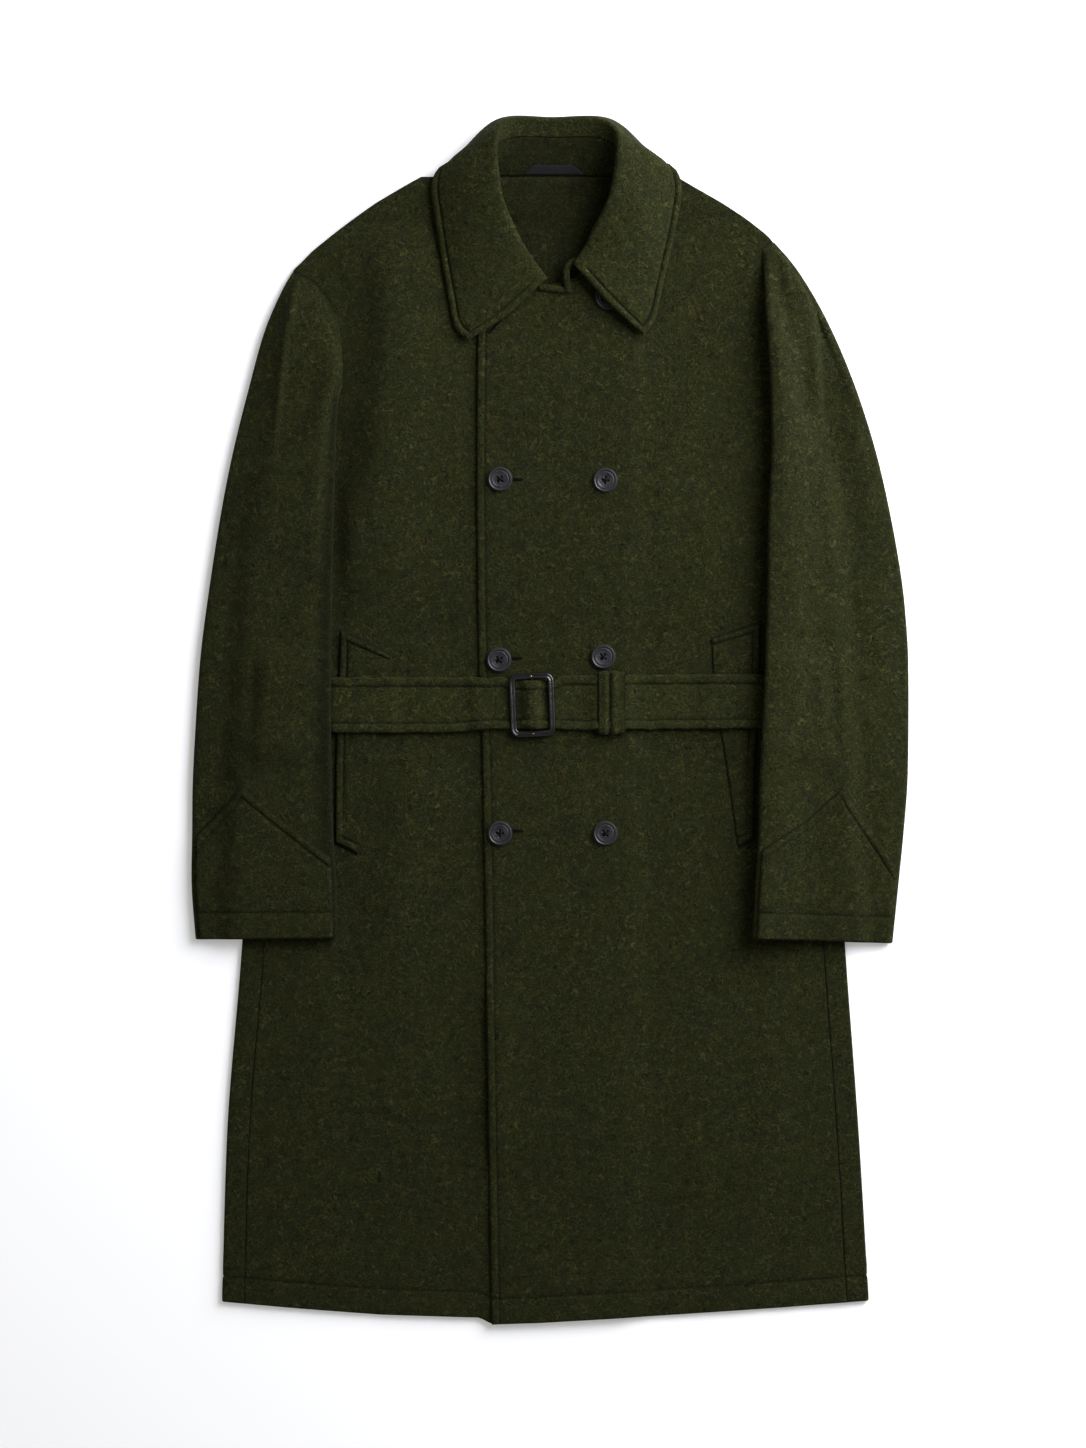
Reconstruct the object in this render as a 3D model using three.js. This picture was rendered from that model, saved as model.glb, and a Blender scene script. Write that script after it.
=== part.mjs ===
// A double-breasted, belted wool overcoat that lies flat on its back, in millimetres, +Z up.
// +Y runs from the hem to the collar and +X towards the wearer's left. The origin is on the surface that the coat
// lies on, below the middle of its box.
// Plan sizes are stated from the image's top left corner, x to the right and y down, one unit to a millimetre.
import * as THREE from "three";

// The middle of the coat in plan, where the origin is.
const MIDDLE_X = 550;
const MIDDLE_Y = 721;

// Walls: melton with its lining.
const BODY_CLOTH = 2.6;
const SLEEVE_CLOTH = 2.8;
const COLLAR_CLOTH = 2.6;
const LAID_CLOTH = 2.0;
const BELT_CLOTH = 3.0;
const SEAM_GAP = 0.4;
const PLY_GAP = 0.4;
const CLEAR_OF_SURFACE = 0.1;

// The heights of the plies, each for the middle of its wall.
const BACK_LEVEL = BODY_CLOTH / 2;
const FRONT_LEVEL = BACK_LEVEL + BODY_CLOTH + PLY_GAP;
const OVERLAP_LEVEL = FRONT_LEVEL + BODY_CLOTH + PLY_GAP;
const NECK_LIFT = 3.5;
const FRONT_TOP = FRONT_LEVEL + BODY_CLOTH / 2;

// Where the plies change.
const HIDDEN_EDGE = 622;
const OVERLAP_END = 652;
const SIDE_WRAP = 22;
const SIDE_TURN = 40;
const ARMPIT_Y = 505;

// Colours.
const CLOTH_COLOUR = 0x2b2d1a;
const COLLAR_COLOUR = 0x2e2f1e;
const BUTTON_COLOUR = 0x2a2b2c;
const BUCKLE_COLOUR = 0x18191a;
const BRASS_COLOUR = 0x8a7440;
const TAPE_COLOUR = 0x1e1e20;

function cloth(color) {
  return new THREE.MeshStandardMaterial({ color, roughness: 0.95, metalness: 0 });
}

function gloss(color, roughness, metalness) {
  return new THREE.MeshStandardMaterial({ color, roughness, metalness });
}

// A point from its plan place and its height.
function at(x, y, z) {
  return new THREE.Vector3(x - MIDDLE_X, MIDDLE_Y - y, z);
}

function mix(a, b, share) {
  return a + (b - a) * share;
}

// 0 before start, 1 after end, and smooth between.
function ease(value, start, end) {
  const t = Math.min(1, Math.max(0, (value - start) / (end - start)));
  return t * t * (3 - 2 * t);
}

// The value at `value` along a table of [place, value] rows, straight between rows.
function along(table, value) {
  if (value <= table[0][0]) return table[0][1];
  for (let i = 1; i < table.length; i++) {
    const [start, low] = table[i - 1];
    const [end, high] = table[i];
    if (value <= end) return mix(low, high, (value - start) / (end - start));
  }
  return table[table.length - 1][1];
}

// Shares from 0 to 1 in a number of equal steps.
function shares(steps) {
  return Array.from({ length: steps + 1 }, (_, i) => i / steps);
}

// A closed wall between two grids of points, rows by columns, which have the same size. The outer grid faces out
// where the rows' and columns' directions turn counter-clockwise seen from outside. A ring's columns close on
// themselves.
function wallBetween(outer, inner, isRing = false) {
  const rows = outer.length;
  const columns = outer[0].length;
  const points = [...outer.flat(), ...inner.flat()];
  const faces = [];
  const first = (r, c) => r * columns + (c % columns);
  const second = (r, c) => rows * columns + first(r, c);
  const quad = (a, b, c, d) => faces.push(a, b, c, a, c, d);
  const lastColumn = isRing ? columns : columns - 1;
  for (let r = 0; r < rows - 1; r++) {
    for (let c = 0; c < lastColumn; c++) {
      quad(first(r, c), first(r, c + 1), first(r + 1, c + 1), first(r + 1, c));
      quad(second(r, c), second(r + 1, c), second(r + 1, c + 1), second(r, c + 1));
    }
    if (!isRing) {
      quad(first(r, 0), first(r + 1, 0), second(r + 1, 0), second(r, 0));
      quad(first(r + 1, lastColumn), first(r, lastColumn), second(r, lastColumn), second(r + 1, lastColumn));
    }
  }
  for (let c = 0; c < lastColumn; c++) {
    quad(first(0, c + 1), first(0, c), second(0, c), second(0, c + 1));
    quad(first(rows - 1, c), first(rows - 1, c + 1), second(rows - 1, c + 1), second(rows - 1, c));
  }
  const geometry = new THREE.BufferGeometry().setFromPoints(points);
  geometry.setIndex(faces);
  geometry.computeVertexNormals();
  return geometry;
}

// The normals of a grid of points, from its neighbours along the rows and columns.
function normalsOf(grid, isRing) {
  const rows = grid.length;
  const columns = grid[0].length;
  return grid.map((row, r) =>
    row.map((_, c) => {
      const before = isRing ? (c + columns - 1) % columns : Math.max(c - 1, 0);
      const after = isRing ? (c + 1) % columns : Math.min(c + 1, columns - 1);
      const toNext = grid[r][c].distanceTo(grid[r][after]) || 1;
      const toLast = grid[r][c].distanceTo(grid[r][before]) || 1;
      const across = grid[r][after].clone().sub(grid[r][c]).divideScalar(toNext);
      across.add(grid[r][c].clone().sub(grid[r][before]).divideScalar(toLast));
      const up = grid[Math.min(r + 1, rows - 1)][c].clone().sub(grid[Math.max(r - 1, 0)][c]);
      return across.cross(up).normalize();
    }),
  );
}

// A wall of even thickness about a grid of middle points.
function wallAbout(grid, thickness, isRing = false) {
  const normals = normalsOf(grid, isRing);
  const moved = (way) =>
    grid.map((row, r) => row.map((p, c) => p.clone().addScaledVector(normals[r][c], (way * thickness) / 2)));
  return wallBetween(moved(1), moved(-1), isRing);
}

// A wall of even height about a grid of middle points, for plies that lie on each other.
function plyAbout(grid, thickness) {
  const moved = (way) =>
    grid.map((row) => row.map((p) => new THREE.Vector3(p.x, p.y, p.z + (way * thickness) / 2)));
  return wallBetween(moved(1), moved(-1));
}

// The body's outline, by height down the image. The side is the fold at the coat's outer edge, and the armhole and
// shoulder columns are the fronts' outer edge above the armpit.
const SIDE_LEFT = [
  [505, 268],
  [948, 242],
  [1140, 227],
  [1310, 222],
];
const SIDE_RIGHT = [
  [505, 815],
  [948, 845],
  [1140, 859],
  [1310, 869],
];
const SHOULDER_LEFT = [
  [178, 421],
  [188, 403],
  [204, 376],
  [220, 353],
  [236, 332],
  [252, 312],
  [268, 297],
  [272, 294],
  [276, 303],
  [282, 313],
  [292, 322],
  [303, 329],
  [322, 337],
  [365, 342],
  [386, 341],
  [420, 333],
  [455, 318],
  [480, 304],
  [505, 290],
];
const SHOULDER_RIGHT = [
  [178, 677],
  [188, 694],
  [204, 722],
  [220, 747],
  [236, 764],
  [252, 772],
  [272, 779],
  [290, 782],
  [322, 770],
  [365, 764],
  [384, 765],
  [420, 772],
  [455, 783],
  [480, 790],
  [505, 793],
];
const HEM = [
  [222, 1301],
  [300, 1308],
  [380, 1314],
  [480, 1317],
  [492, 1324],
  [540, 1322],
  [660, 1315],
  [780, 1307],
  [869, 1300],
];
const HEM_BACK_RISE = 3;

// The neckline and edge of the upper front, and the neckline of the under front, by height down the image.
const UPPER_EDGE = [
  [178, 628],
  [210, 618],
  [240, 606],
  [262, 592],
  [275, 578],
  [283, 564],
  [286, 543],
  [292, 528],
  [300, 508],
  [310, 494],
  [325, 482],
  [335, 478],
  [480, 477],
  [660, 479],
  [735, 482],
  [1180, 489.5],
  [1330, 492],
];
const UNDER_EDGE = [
  [178, 474],
  [210, 483],
  [240, 494],
  [262, 507],
  [275, 514],
  [290, 538],
  [305, 572],
  [320, 600],
  [335, 618],
  [345, HIDDEN_EDGE],
  [1330, HIDDEN_EDGE],
];

// Heights down the image at which the body has a row of points, closer together where the fronts rise and fall.
const BODY_ROWS = [
  178, 208, 225, 240, 262, 272, 276, 286, 300, 322, 345, 365, 386, 420, 455, 480, 505, 545, 580, 600, 622, 645, 690,
  742, 765, 790, 815, 860, 950, 1060, 1140, 1200, 1250,
];
const HEM_ROW = 1295;

// How far the fronts stand clear of the back.
const CHEST_SWELL = 3.6;
const SKIRT_SWELL = 2.8;

// The front's outer edge, where it meets the back's wrapped edge or the armhole.
function frontOuter(y, way) {
  if (y <= ARMPIT_Y) return along(way < 0 ? SHOULDER_LEFT : SHOULDER_RIGHT, y);
  return along(way < 0 ? SIDE_LEFT : SIDE_RIGHT, y) - way * SIDE_WRAP;
}

// The fronts' soft swells across the chest and skirt, which the belt draws in between.
function swell(x, y) {
  const chest = CHEST_SWELL * ease(y, 300, 420) * (1 - ease(y, 580, 645));
  const skirt = SKIRT_SWELL * ease(y, 742, 815) * (1 - ease(y, 1060, 1250));
  const inside = ease(x, 338, 410) * (1 - ease(x, 690, 755));
  return (chest + skirt) * inside;
}

// The body's plies are lifted at the neck, where the collar's fall lies below them.
function neckLift(y) {
  return NECK_LIFT * (1 - ease(y, 205, 225));
}

function underLevel(x, y) {
  return FRONT_LEVEL + swell(x, y) + neckLift(y);
}

// The upper front lies on the under one as far as that one's hidden edge, and only below the neckline.
function upperLevel(x, y) {
  const lap = (1 - ease(x, HIDDEN_EDGE + 3, OVERLAP_END)) * ease(y, 258, 284);
  return underLevel(x, y) + (OVERLAP_LEVEL - FRONT_LEVEL) * lap;
}

// The height of the cloth that shows, whichever front it is.
function frontLevel(x, y) {
  return x < along(UPPER_EDGE, y) ? underLevel(x, y) : upperLevel(x, y);
}

// The hem's height down the image.
function hemY(x) {
  return along(HEM, x);
}

function frontGrid(columnsAt, level) {
  const rows = BODY_ROWS.map((y) => columnsAt(y).map((x) => at(x, y, level(x, y))));
  rows.push(columnsAt(HEM_ROW).map((x) => at(x, hemY(x), level(x, hemY(x)))));
  return rows.reverse();
}

// The under front's columns, as shares of its width from the side, closer together where it rises.
const UNDER_COLUMNS = [0, 0.06, 0.12, 0.18, 0.24, 0.3, 0.37, 0.45, 0.58, 0.72, 0.86, 1];

function underFront() {
  const columnsAt = (y) => {
    const outer = frontOuter(y, -1) + SEAM_GAP;
    const inner = along(UNDER_EDGE, y);
    return UNDER_COLUMNS.map((share) => mix(outer, inner, share));
  };
  return plyAbout(frontGrid(columnsAt, underLevel), BODY_CLOTH);
}

function upperFront() {
  const columnsAt = (y) => {
    const edge = along(UPPER_EDGE, y);
    const outer = frontOuter(y, 1) - SEAM_GAP;
    const start = Math.max(HIDDEN_EDGE, edge + 8);
    const end = Math.max(OVERLAP_END, start + 10);
    const lap = shares(4).map((share) => mix(edge, start, share));
    const rest = shares(7).map((share) => mix(end, outer, share));
    return [...lap, mix(start, end, 0.35), mix(start, end, 0.65), ...rest];
  };
  return plyAbout(frontGrid(columnsAt, upperLevel), BODY_CLOTH);
}

// Where the back meets a side panel, and above the armpit the armhole.
function backOuter(y, way) {
  if (y < ARMPIT_Y) return frontOuter(y, way);
  return along(way < 0 ? SIDE_LEFT : SIDE_RIGHT, y) - way * (SIDE_TURN + SEAM_GAP);
}

// The back lies on the surface. Its neck is lifted, because the collar's fall lies below it.
function back() {
  const row = (y, rowY, rise) =>
    shares(10).map((share) => {
      const x = mix(backOuter(y, -1), backOuter(y, 1), share);
      return at(x, rowY(x) - rise, BACK_LEVEL + neckLift(y));
    });
  const rows = BODY_ROWS.map((y) => row(y, () => y, 0));
  rows.push(row(HEM_ROW, (x) => Math.min(hemY(x), along(HEM, 480)), HEM_BACK_RISE));
  return plyAbout(rows.reverse(), BODY_CLOTH);
}

// A side panel runs from the back's seam below, round the coat's outer edge, to the front's side seam above.
function sidePanel(way) {
  const bend = (FRONT_LEVEL - BACK_LEVEL) / 2;
  const middle = (FRONT_LEVEL + BACK_LEVEL) / 2;
  const section = (y, rowY) => {
    const side = along(way < 0 ? SIDE_LEFT : SIDE_RIGHT, y);
    const centre = side - way * (BODY_CLOTH / 2 + bend);
    const turns = [-1, -0.5, 0, 0.5, 1].map((turn) => {
      const angle = (turn * Math.PI) / 2;
      return [centre + way * bend * Math.cos(angle), middle + bend * Math.sin(angle)];
    });
    const points = [[side - way * SIDE_TURN, BACK_LEVEL], ...turns, [side - way * SIDE_WRAP, FRONT_LEVEL]];
    return points.map(([x, z]) => at(x, rowY(x), z));
  };
  const rows = BODY_ROWS.filter((y) => y >= ARMPIT_Y).map((y) => section(y, () => y));
  rows.push(section(HEM_ROW, hemY));
  return wallAbout(way < 0 ? rows : rows.reverse(), BODY_CLOTH);
}

// The collar, station by station, from the image's left front end round the back to its right front end. Each row
// gives the stand's foot at the neckline, the crest of the fold, a point halfway down the fall, and the fall's edge.
const COLLAR = [
  { foot: [522, 289, 10.6], crest: [547, 279, 14.5], fall: [504, 311, 14.6], edge: [468, 337, 9.2] },
  { foot: [512, 270, 9], crest: [534, 261, 18], fall: [494, 297, 16], edge: [455, 329, 7.6] },
  { foot: [499, 245, 8.4], crest: [519, 240, 23], fall: [485, 272, 19], edge: [449, 301, 7.6] },
  { foot: [488, 222, 10], crest: [508, 217, 29], fall: [474, 240, 23], edge: [442, 262, 7.6] },
  { foot: [480, 200, 11], crest: [500, 190, 34], fall: [466, 207, 27], edge: [436, 222, 9.2] },
  { foot: [478, 186, 11], crest: [497, 162, 36], fall: [462, 177, 27], edge: [432, 186, 11.4] },
  { foot: [485, 178, 8], crest: [497, 147, 36], fall: [456, 161, 20], edge: [439, 172, 9] },
  { foot: [493, 176.4, 6], crest: [499, 134, 34], fall: [463, 146, 12], edge: [462, 165, 1.7] },
  { foot: [516, 176.4, 4.6], crest: [510, 123.5, 28], fall: [497, 123.5, 7], edge: [512, 186, 1.5] },
  { foot: [553, 176.4, 4.6], crest: [554, 122.5, 24], fall: [554, 121.6, 7], edge: [553, 192, 1.5] },
  { foot: [590, 176.4, 4.6], crest: [599, 123.5, 28], fall: [612, 123.5, 7], edge: [596, 186, 1.5] },
  { foot: [614, 176.4, 6], crest: [614, 134, 34], fall: [650, 146, 12], edge: [650, 165, 1.7] },
  { foot: [619, 177, 8], crest: [617, 147, 36], fall: [657, 161, 20], edge: [674, 172, 9] },
  { foot: [630, 184, 12], crest: [616, 164, 36], fall: [651, 179, 27], edge: [681, 187, 11.4] },
  { foot: [632, 202, 11], crest: [612, 190, 34], fall: [646, 207, 27], edge: [676, 226, 9.2] },
  { foot: [624, 222, 10], crest: [604, 212, 29], fall: [639, 236, 23], edge: [668, 262, 7.6] },
  { foot: [614, 243, 8.4], crest: [594, 231, 23], fall: [631, 262, 19], edge: [661, 293, 7.6] },
  { foot: [602, 262, 9], crest: [585, 247, 18], fall: [621, 284, 16], edge: [654, 322, 9.2] },
  { foot: [590, 276, 11.4], crest: [573, 264, 15.5], fall: [607, 300, 15], edge: [644, 332, 10.8] },
];
const STAND_SHARE = 0.68;
const STAND_SEAM_GAP = 0.6;
const STATION_STEPS = 2;

// A smooth line through the same point of every station.
function stationCurve(name) {
  return new THREE.CatmullRomCurve3(COLLAR.map((row) => at(...row[name])), false, "centripetal");
}

function sampled(curve) {
  return shares((COLLAR.length - 1) * STATION_STEPS).map((share) => curve.getPoint(share));
}

const FOOT_CURVE = stationCurve("foot");
const CREST_CURVE = stationCurve("crest");
const FEET = sampled(FOOT_CURVE);
const CRESTS = sampled(CREST_CURVE);
const FALLS = sampled(stationCurve("fall"));
const EDGES = sampled(stationCurve("edge"));

// The fold at the crest: how far it rises over the crest's line, where it leaves the stand and meets the fall, and
// the places along the fall's profile that have a point.
const FOLD_RADIUS = 2.6;
const FOLD_START = 0.9;
const FOLD_END = 0.14;
const FOLD_INSET = 0.4;
const FOLD_TOP = 0.6;
const FALL_PLACES = [0, 0.1, 0.2, 0.29, 0.36, 0.42, 0.48, 0.56, 0.66, 0.76, 0.86, 0.93, 1];

function collarStand() {
  const grid = FEET.map((foot, i) => {
    const end = STAND_SHARE - STAND_SEAM_GAP / foot.distanceTo(CRESTS[i]);
    return shares(4).map((share) => foot.clone().lerp(CRESTS[i], share * end));
  });
  return wallAbout(grid, COLLAR_CLOTH);
}

function collarFall() {
  const grid = FEET.map((foot, i) => {
    const crest = CRESTS[i];
    const rise = foot.clone().lerp(crest, STAND_SHARE);
    const inward = crest.clone().sub(foot).setZ(0).normalize();
    const up = new THREE.Vector3(0, 0, 1);
    const under = foot.clone().lerp(crest, FOLD_START);
    const over = crest.clone().lerp(FALLS[i], FOLD_END).addScaledVector(up, FOLD_RADIUS);
    const top = crest.clone().addScaledVector(inward, FOLD_INSET).addScaledVector(up, FOLD_RADIUS * FOLD_TOP);
    const profile = new THREE.CatmullRomCurve3([rise, under, top, over, FALLS[i], EDGES[i]], false, "centripetal");
    const lowest = COLLAR_CLOTH / 2 + CLEAR_OF_SURFACE;
    return FALL_PLACES.map((place) => {
      const point = profile.getPoint(place);
      return point.setZ(Math.max(point.z, lowest));
    });
  });
  return wallAbout(grid, COLLAR_CLOTH);
}

// The blank tape inside the neck, on the stand's inner face: its ends along the stand, and its top's inset.
const TAPE = { from: 0.456, to: 0.544, topInset: 0.018, low: 0.03, high: 0.19, thickness: 0.8 };
// The direction out of the stand's inner face, at the back of the neck.
const OUT_OF_STAND = [0, -0.33, 0.94];

function neckTape() {
  const clear = COLLAR_CLOTH / 2 + PLY_GAP + TAPE.thickness / 2;
  const out = new THREE.Vector3(...OUT_OF_STAND).multiplyScalar(clear);
  const rows = shares(2).map((up) =>
    shares(4).map((share) => {
      const inset = TAPE.topInset * up;
      const place = mix(TAPE.from + inset, TAPE.to - inset, share);
      const foot = FOOT_CURVE.getPoint(place);
      return foot.lerp(CREST_CURVE.getPoint(place), mix(TAPE.low, TAPE.high, up)).add(out);
    }),
  );
  return wallAbout(rows, TAPE.thickness);
}

// Each sleeve, from its head to its cuff, as rows of its outer and inner fold in plan. The bulge says how far its
// head follows the armhole seam beyond the straight line between the folds.
const SLEEVES = {
  left_of_image: {
    way: -1,
    rows: [
      { outer: [294, 275], inner: [340, 386], bulge: 1 },
      { outer: [284, 290], inner: [337, 402], bulge: 0.45 },
      { outer: [266, 330], inner: [336, 432], bulge: 0.1 },
      { outer: [249, 390], inner: [335.5, 470], bulge: 0 },
      { outer: [234, 450], inner: [334, 520], bulge: 0 },
      { outer: [222, 510], inner: [333, 570], bulge: 0 },
      { outer: [208, 600], inner: [332, 635], bulge: 0 },
      { outer: [201, 655], inner: [332, 668], bulge: 0 },
      { outer: [195, 742], inner: [332, 742], bulge: 0 },
      { outer: [193, 785], inner: [332.5, 780], bulge: 0 },
      { outer: [192.5, 833], inner: [334, 835], bulge: 0 },
      { outer: [192, 885], inner: [337, 885], bulge: 0 },
      { outer: [196, 939], inner: [338, 938], bulge: 0 },
    ],
    seam: [
      [294, 275],
      [302.4, 277],
      [312.4, 283],
      [321.4, 293],
      [328.4, 304],
      [335.6, 323],
      [340.2, 365],
      [340, 386],
    ],
    support: [
      [300, 345],
      [386, 338],
      [420, 328],
      [455, 300],
      [475, 268],
      [505, 264],
      [948, 240],
    ],
    cuff: [
      [0, 837],
      [0.35, 788],
      [0.86, 843],
      [1, 858],
    ],
    foldRise: 0,
  },
  right_of_image: {
    way: 1,
    rows: [
      { outer: [776, 247], inner: [763.5, 254], bulge: 0 },
      { outer: [790, 262], inner: [763.5, 275], bulge: 0 },
      { outer: [806, 285], inner: [764, 305], bulge: 0 },
      { outer: [820, 308], inner: [765.5, 332], bulge: 0 },
      { outer: [838, 345], inner: [768, 366], bulge: 0 },
      { outer: [856, 390], inner: [769.5, 402], bulge: 0 },
      { outer: [875, 450], inner: [770, 456], bulge: 0 },
      { outer: [889, 510], inner: [767, 512], bulge: 0 },
      { outer: [902, 585], inner: [766, 585], bulge: 0 },
      { outer: [907, 640], inner: [764.5, 640], bulge: 0 },
      { outer: [908, 668], inner: [763.5, 668], bulge: 0 },
      { outer: [908, 742], inner: [760, 742], bulge: 0 },
      { outer: [907, 785], inner: [758, 785], bulge: 0 },
      { outer: [903, 835], inner: [757, 835], bulge: 0 },
      { outer: [898, 885], inner: [754, 885], bulge: 0 },
      { outer: [892, 943], inner: [751, 938], bulge: 0 },
    ],
    seam: [],
    support: [
      [240, 790],
      [384, 786],
      [455, 800],
      [475, 815],
      [505, 819],
      [948, 848],
    ],
    cuff: [
      [0, 868],
      [0.435, 789],
      [0.68, 821],
      [1, 850],
    ],
    foldRise: 7,
  },
};
const SLEEVE_HOLLOW = 3.4;
const SLEEVE_HEAD_HOLLOW = 0.5;
// How far a sleeve's lower ply is clear of the surface, and of the front that it lies on.
const SLEEVE_CLEARANCE = 0.2;
const LAID_CLEARANCE = 0.7;
const SLEEVE_COLUMNS = [0, 0.06, 0.16, 0.26, 0.35, 0.435, 0.55, 0.68, 0.82, 0.93, 1];
const BELT_CLEARANCE = 4.8;

// The middle of a sleeve's lower ply: on the surface beyond the body's edge, and over the front inside it. It is
// lifted where the belt runs below it.
function sleeveFloor(shape, x, y) {
  const free = SLEEVE_CLOTH / 2 + SLEEVE_CLEARANCE;
  const laid = FRONT_TOP + LAID_CLEARANCE + SLEEVE_CLOTH / 2;
  const inside = (along(shape.support, y) - x) * shape.way;
  const reached = shape.way < 0 ? ease(y, 340, 384) : 1;
  const overBelt = BELT_CLEARANCE * ease(y, 640, 667) * (1 - ease(y, 743, 775)) * ease(inside, 0, 15);
  return mix(free, laid, ease(inside, -28, -4) * reached) + overBelt;
}

// The place in plan of a share of a sleeve's width at one row.
function sleevePlan(shape, row, share) {
  const x = mix(row.outer[0], row.inner[0], share);
  const y = mix(row.outer[1], row.inner[1], share);
  if (!row.bulge) return [x, y];
  const seam = new THREE.CatmullRomCurve3(shape.seam.map(([sx, sy]) => new THREE.Vector3(sx, sy, 0)));
  const onSeam = seam.getPoint(share);
  const head = shape.rows[0];
  const offX = onSeam.x - mix(head.outer[0], head.inner[0], share);
  const offY = onSeam.y - mix(head.outer[1], head.inner[1], share);
  return [x + offX * row.bulge, y + offY * row.bulge];
}

// Half the height between the middles of a sleeve's two plies.
function sleeveBend(rowIndex) {
  const hollow = mix(SLEEVE_HEAD_HOLLOW, SLEEVE_HOLLOW, Math.min(1, rowIndex / 2));
  return (hollow + SLEEVE_CLOTH) / 2;
}

// A middle point of a sleeve's lower or upper ply, at a share of the flat stretch between its folds.
function sleevePoint(shape, rowIndex, column, isUpper) {
  const row = shape.rows[rowIndex];
  const bend = sleeveBend(rowIndex);
  const width = Math.hypot(row.inner[0] - row.outer[0], row.inner[1] - row.outer[1]);
  const inset = (bend + SLEEVE_CLOTH / 2) / width;
  const [x, y] = sleevePlan(shape, row, mix(inset, 1 - inset, column));
  const lift = shape.foldRise * ease(column, 0.55, 1) * ease(rowIndex, 0, 2);
  return at(x, y, sleeveFloor(shape, x, y) + lift + (isUpper ? 2 * bend : 0));
}

// A sleeve's ring of middle points at one row: its lower ply from the outer fold to the inner one, round that fold
// and back over its upper ply.
function sleeveRing(shape, rowIndex) {
  const row = shape.rows[rowIndex];
  const lower = SLEEVE_COLUMNS.map((column) => sleevePoint(shape, rowIndex, column, false));
  const upper = SLEEVE_COLUMNS.map((column) => sleevePoint(shape, rowIndex, column, true));
  const fold = (from, to, share) => {
    const middle = from.clone().add(to).multiplyScalar(0.5);
    const [x, y] = sleevePlan(shape, row, share);
    const outward = at(x, y, middle.z).sub(middle).setLength(sleeveBend(rowIndex));
    const rise = to.clone().sub(middle);
    return [-0.5, 0, 0.5].map((turn) => {
      const angle = (turn * Math.PI) / 2;
      return middle.clone().addScaledVector(outward, Math.cos(angle)).addScaledVector(rise, Math.sin(angle));
    });
  };
  const last = lower.length - 1;
  return [...lower, ...fold(lower[last], upper[last], 1), ...upper.reverse(), ...fold(upper[last], lower[0], 0)];
}

function sleeve(shape) {
  const rings = shape.rows.map((_, i) => sleeveRing(shape, i));
  return wallAbout(shape.way < 0 ? rings : rings.map((ring) => ring.reverse()), SLEEVE_CLOTH, true);
}

// A point on the upper ply of a sleeve at a height down the image, between two of its rows.
function onSleeve(shape, column, y) {
  const points = shape.rows.map((_, i) => sleevePoint(shape, i, column, true));
  const planY = MIDDLE_Y - y;
  const next = Math.max(1, points.findIndex((point) => point.y <= planY));
  const [above, below] = next > 0 ? [points[next - 1], points[next]] : [points[0], points[1]];
  return above.clone().lerp(below, (above.y - planY) / (above.y - below.y));
}

// How far a cuff is clear of the bends of its sleeve's upper ply, and how far it stops short of the sleeve's folds.
const CUFF_CLEARANCE = 0.92;
const CUFF_INSET = 0.01;

// A pointed cuff lies on the sleeve's upper ply, from its pointed edge down to the sleeve's end.
function cuff(shape) {
  const columns = SLEEVE_COLUMNS.map((column) => Math.min(1 - CUFF_INSET, Math.max(CUFF_INSET, column)));
  const lift = SLEEVE_CLOTH / 2 + CUFF_CLEARANCE + LAID_CLOTH / 2;
  const end = shape.rows[shape.rows.length - 1];
  const rows = shares(5).map((share) =>
    columns.map((column) => {
      const endY = mix(end.outer[1], end.inner[1], column) - 1;
      const point = onSleeve(shape, column, mix(endY, along(shape.cuff, column), share));
      return point.setZ(point.z + lift);
    }),
  );
  return plyAbout(shape.way < 0 ? rows : rows.map((row) => row.reverse()), LAID_CLOTH);
}

// Each pocket welt, by its outer and inner edge in plan at heights down the image.
const WELTS = {
  left_of_image: [
    { outer: [341, 631], inner: [390, 655] },
    { outer: [338, 700], inner: [386, 700] },
    { outer: [336, 760], inner: [374, 760] },
    { outer: [335.5, 842], inner: [358, 853] },
  ],
  right_of_image: [
    { outer: [760, 623], inner: [711.5, 639] },
    { outer: [759, 690], inner: [714.5, 690] },
    { outer: [755, 760], inner: [726, 760] },
    { outer: [753.5, 838], inner: [738, 846] },
  ],
};
const WELT_STEPS = 4;

function welt(edges) {
  const lift = BODY_CLOTH / 2 + PLY_GAP + LAID_CLOTH / 2;
  const isLeft = edges[0].outer[0] < edges[0].inner[0];
  const rows = edges.slice(0, -1).flatMap((edge, i) =>
    shares(WELT_STEPS)
      .slice(i ? 1 : 0)
      .map((share) => ({
        outer: [mix(edge.outer[0], edges[i + 1].outer[0], share), mix(edge.outer[1], edges[i + 1].outer[1], share)],
        inner: [mix(edge.inner[0], edges[i + 1].inner[0], share), mix(edge.inner[1], edges[i + 1].inner[1], share)],
      })),
  );
  const grid = rows.map(({ outer, inner }) => {
    const [from, to] = isLeft ? [outer, inner] : [inner, outer];
    return shares(3).map((share) => {
      const x = mix(from[0], to[0], share);
      const y = mix(from[1], to[1], share);
      return at(x, y, frontLevel(x, y) + lift);
    });
  });
  return plyAbout(grid.reverse(), LAID_CLOTH);
}

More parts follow.
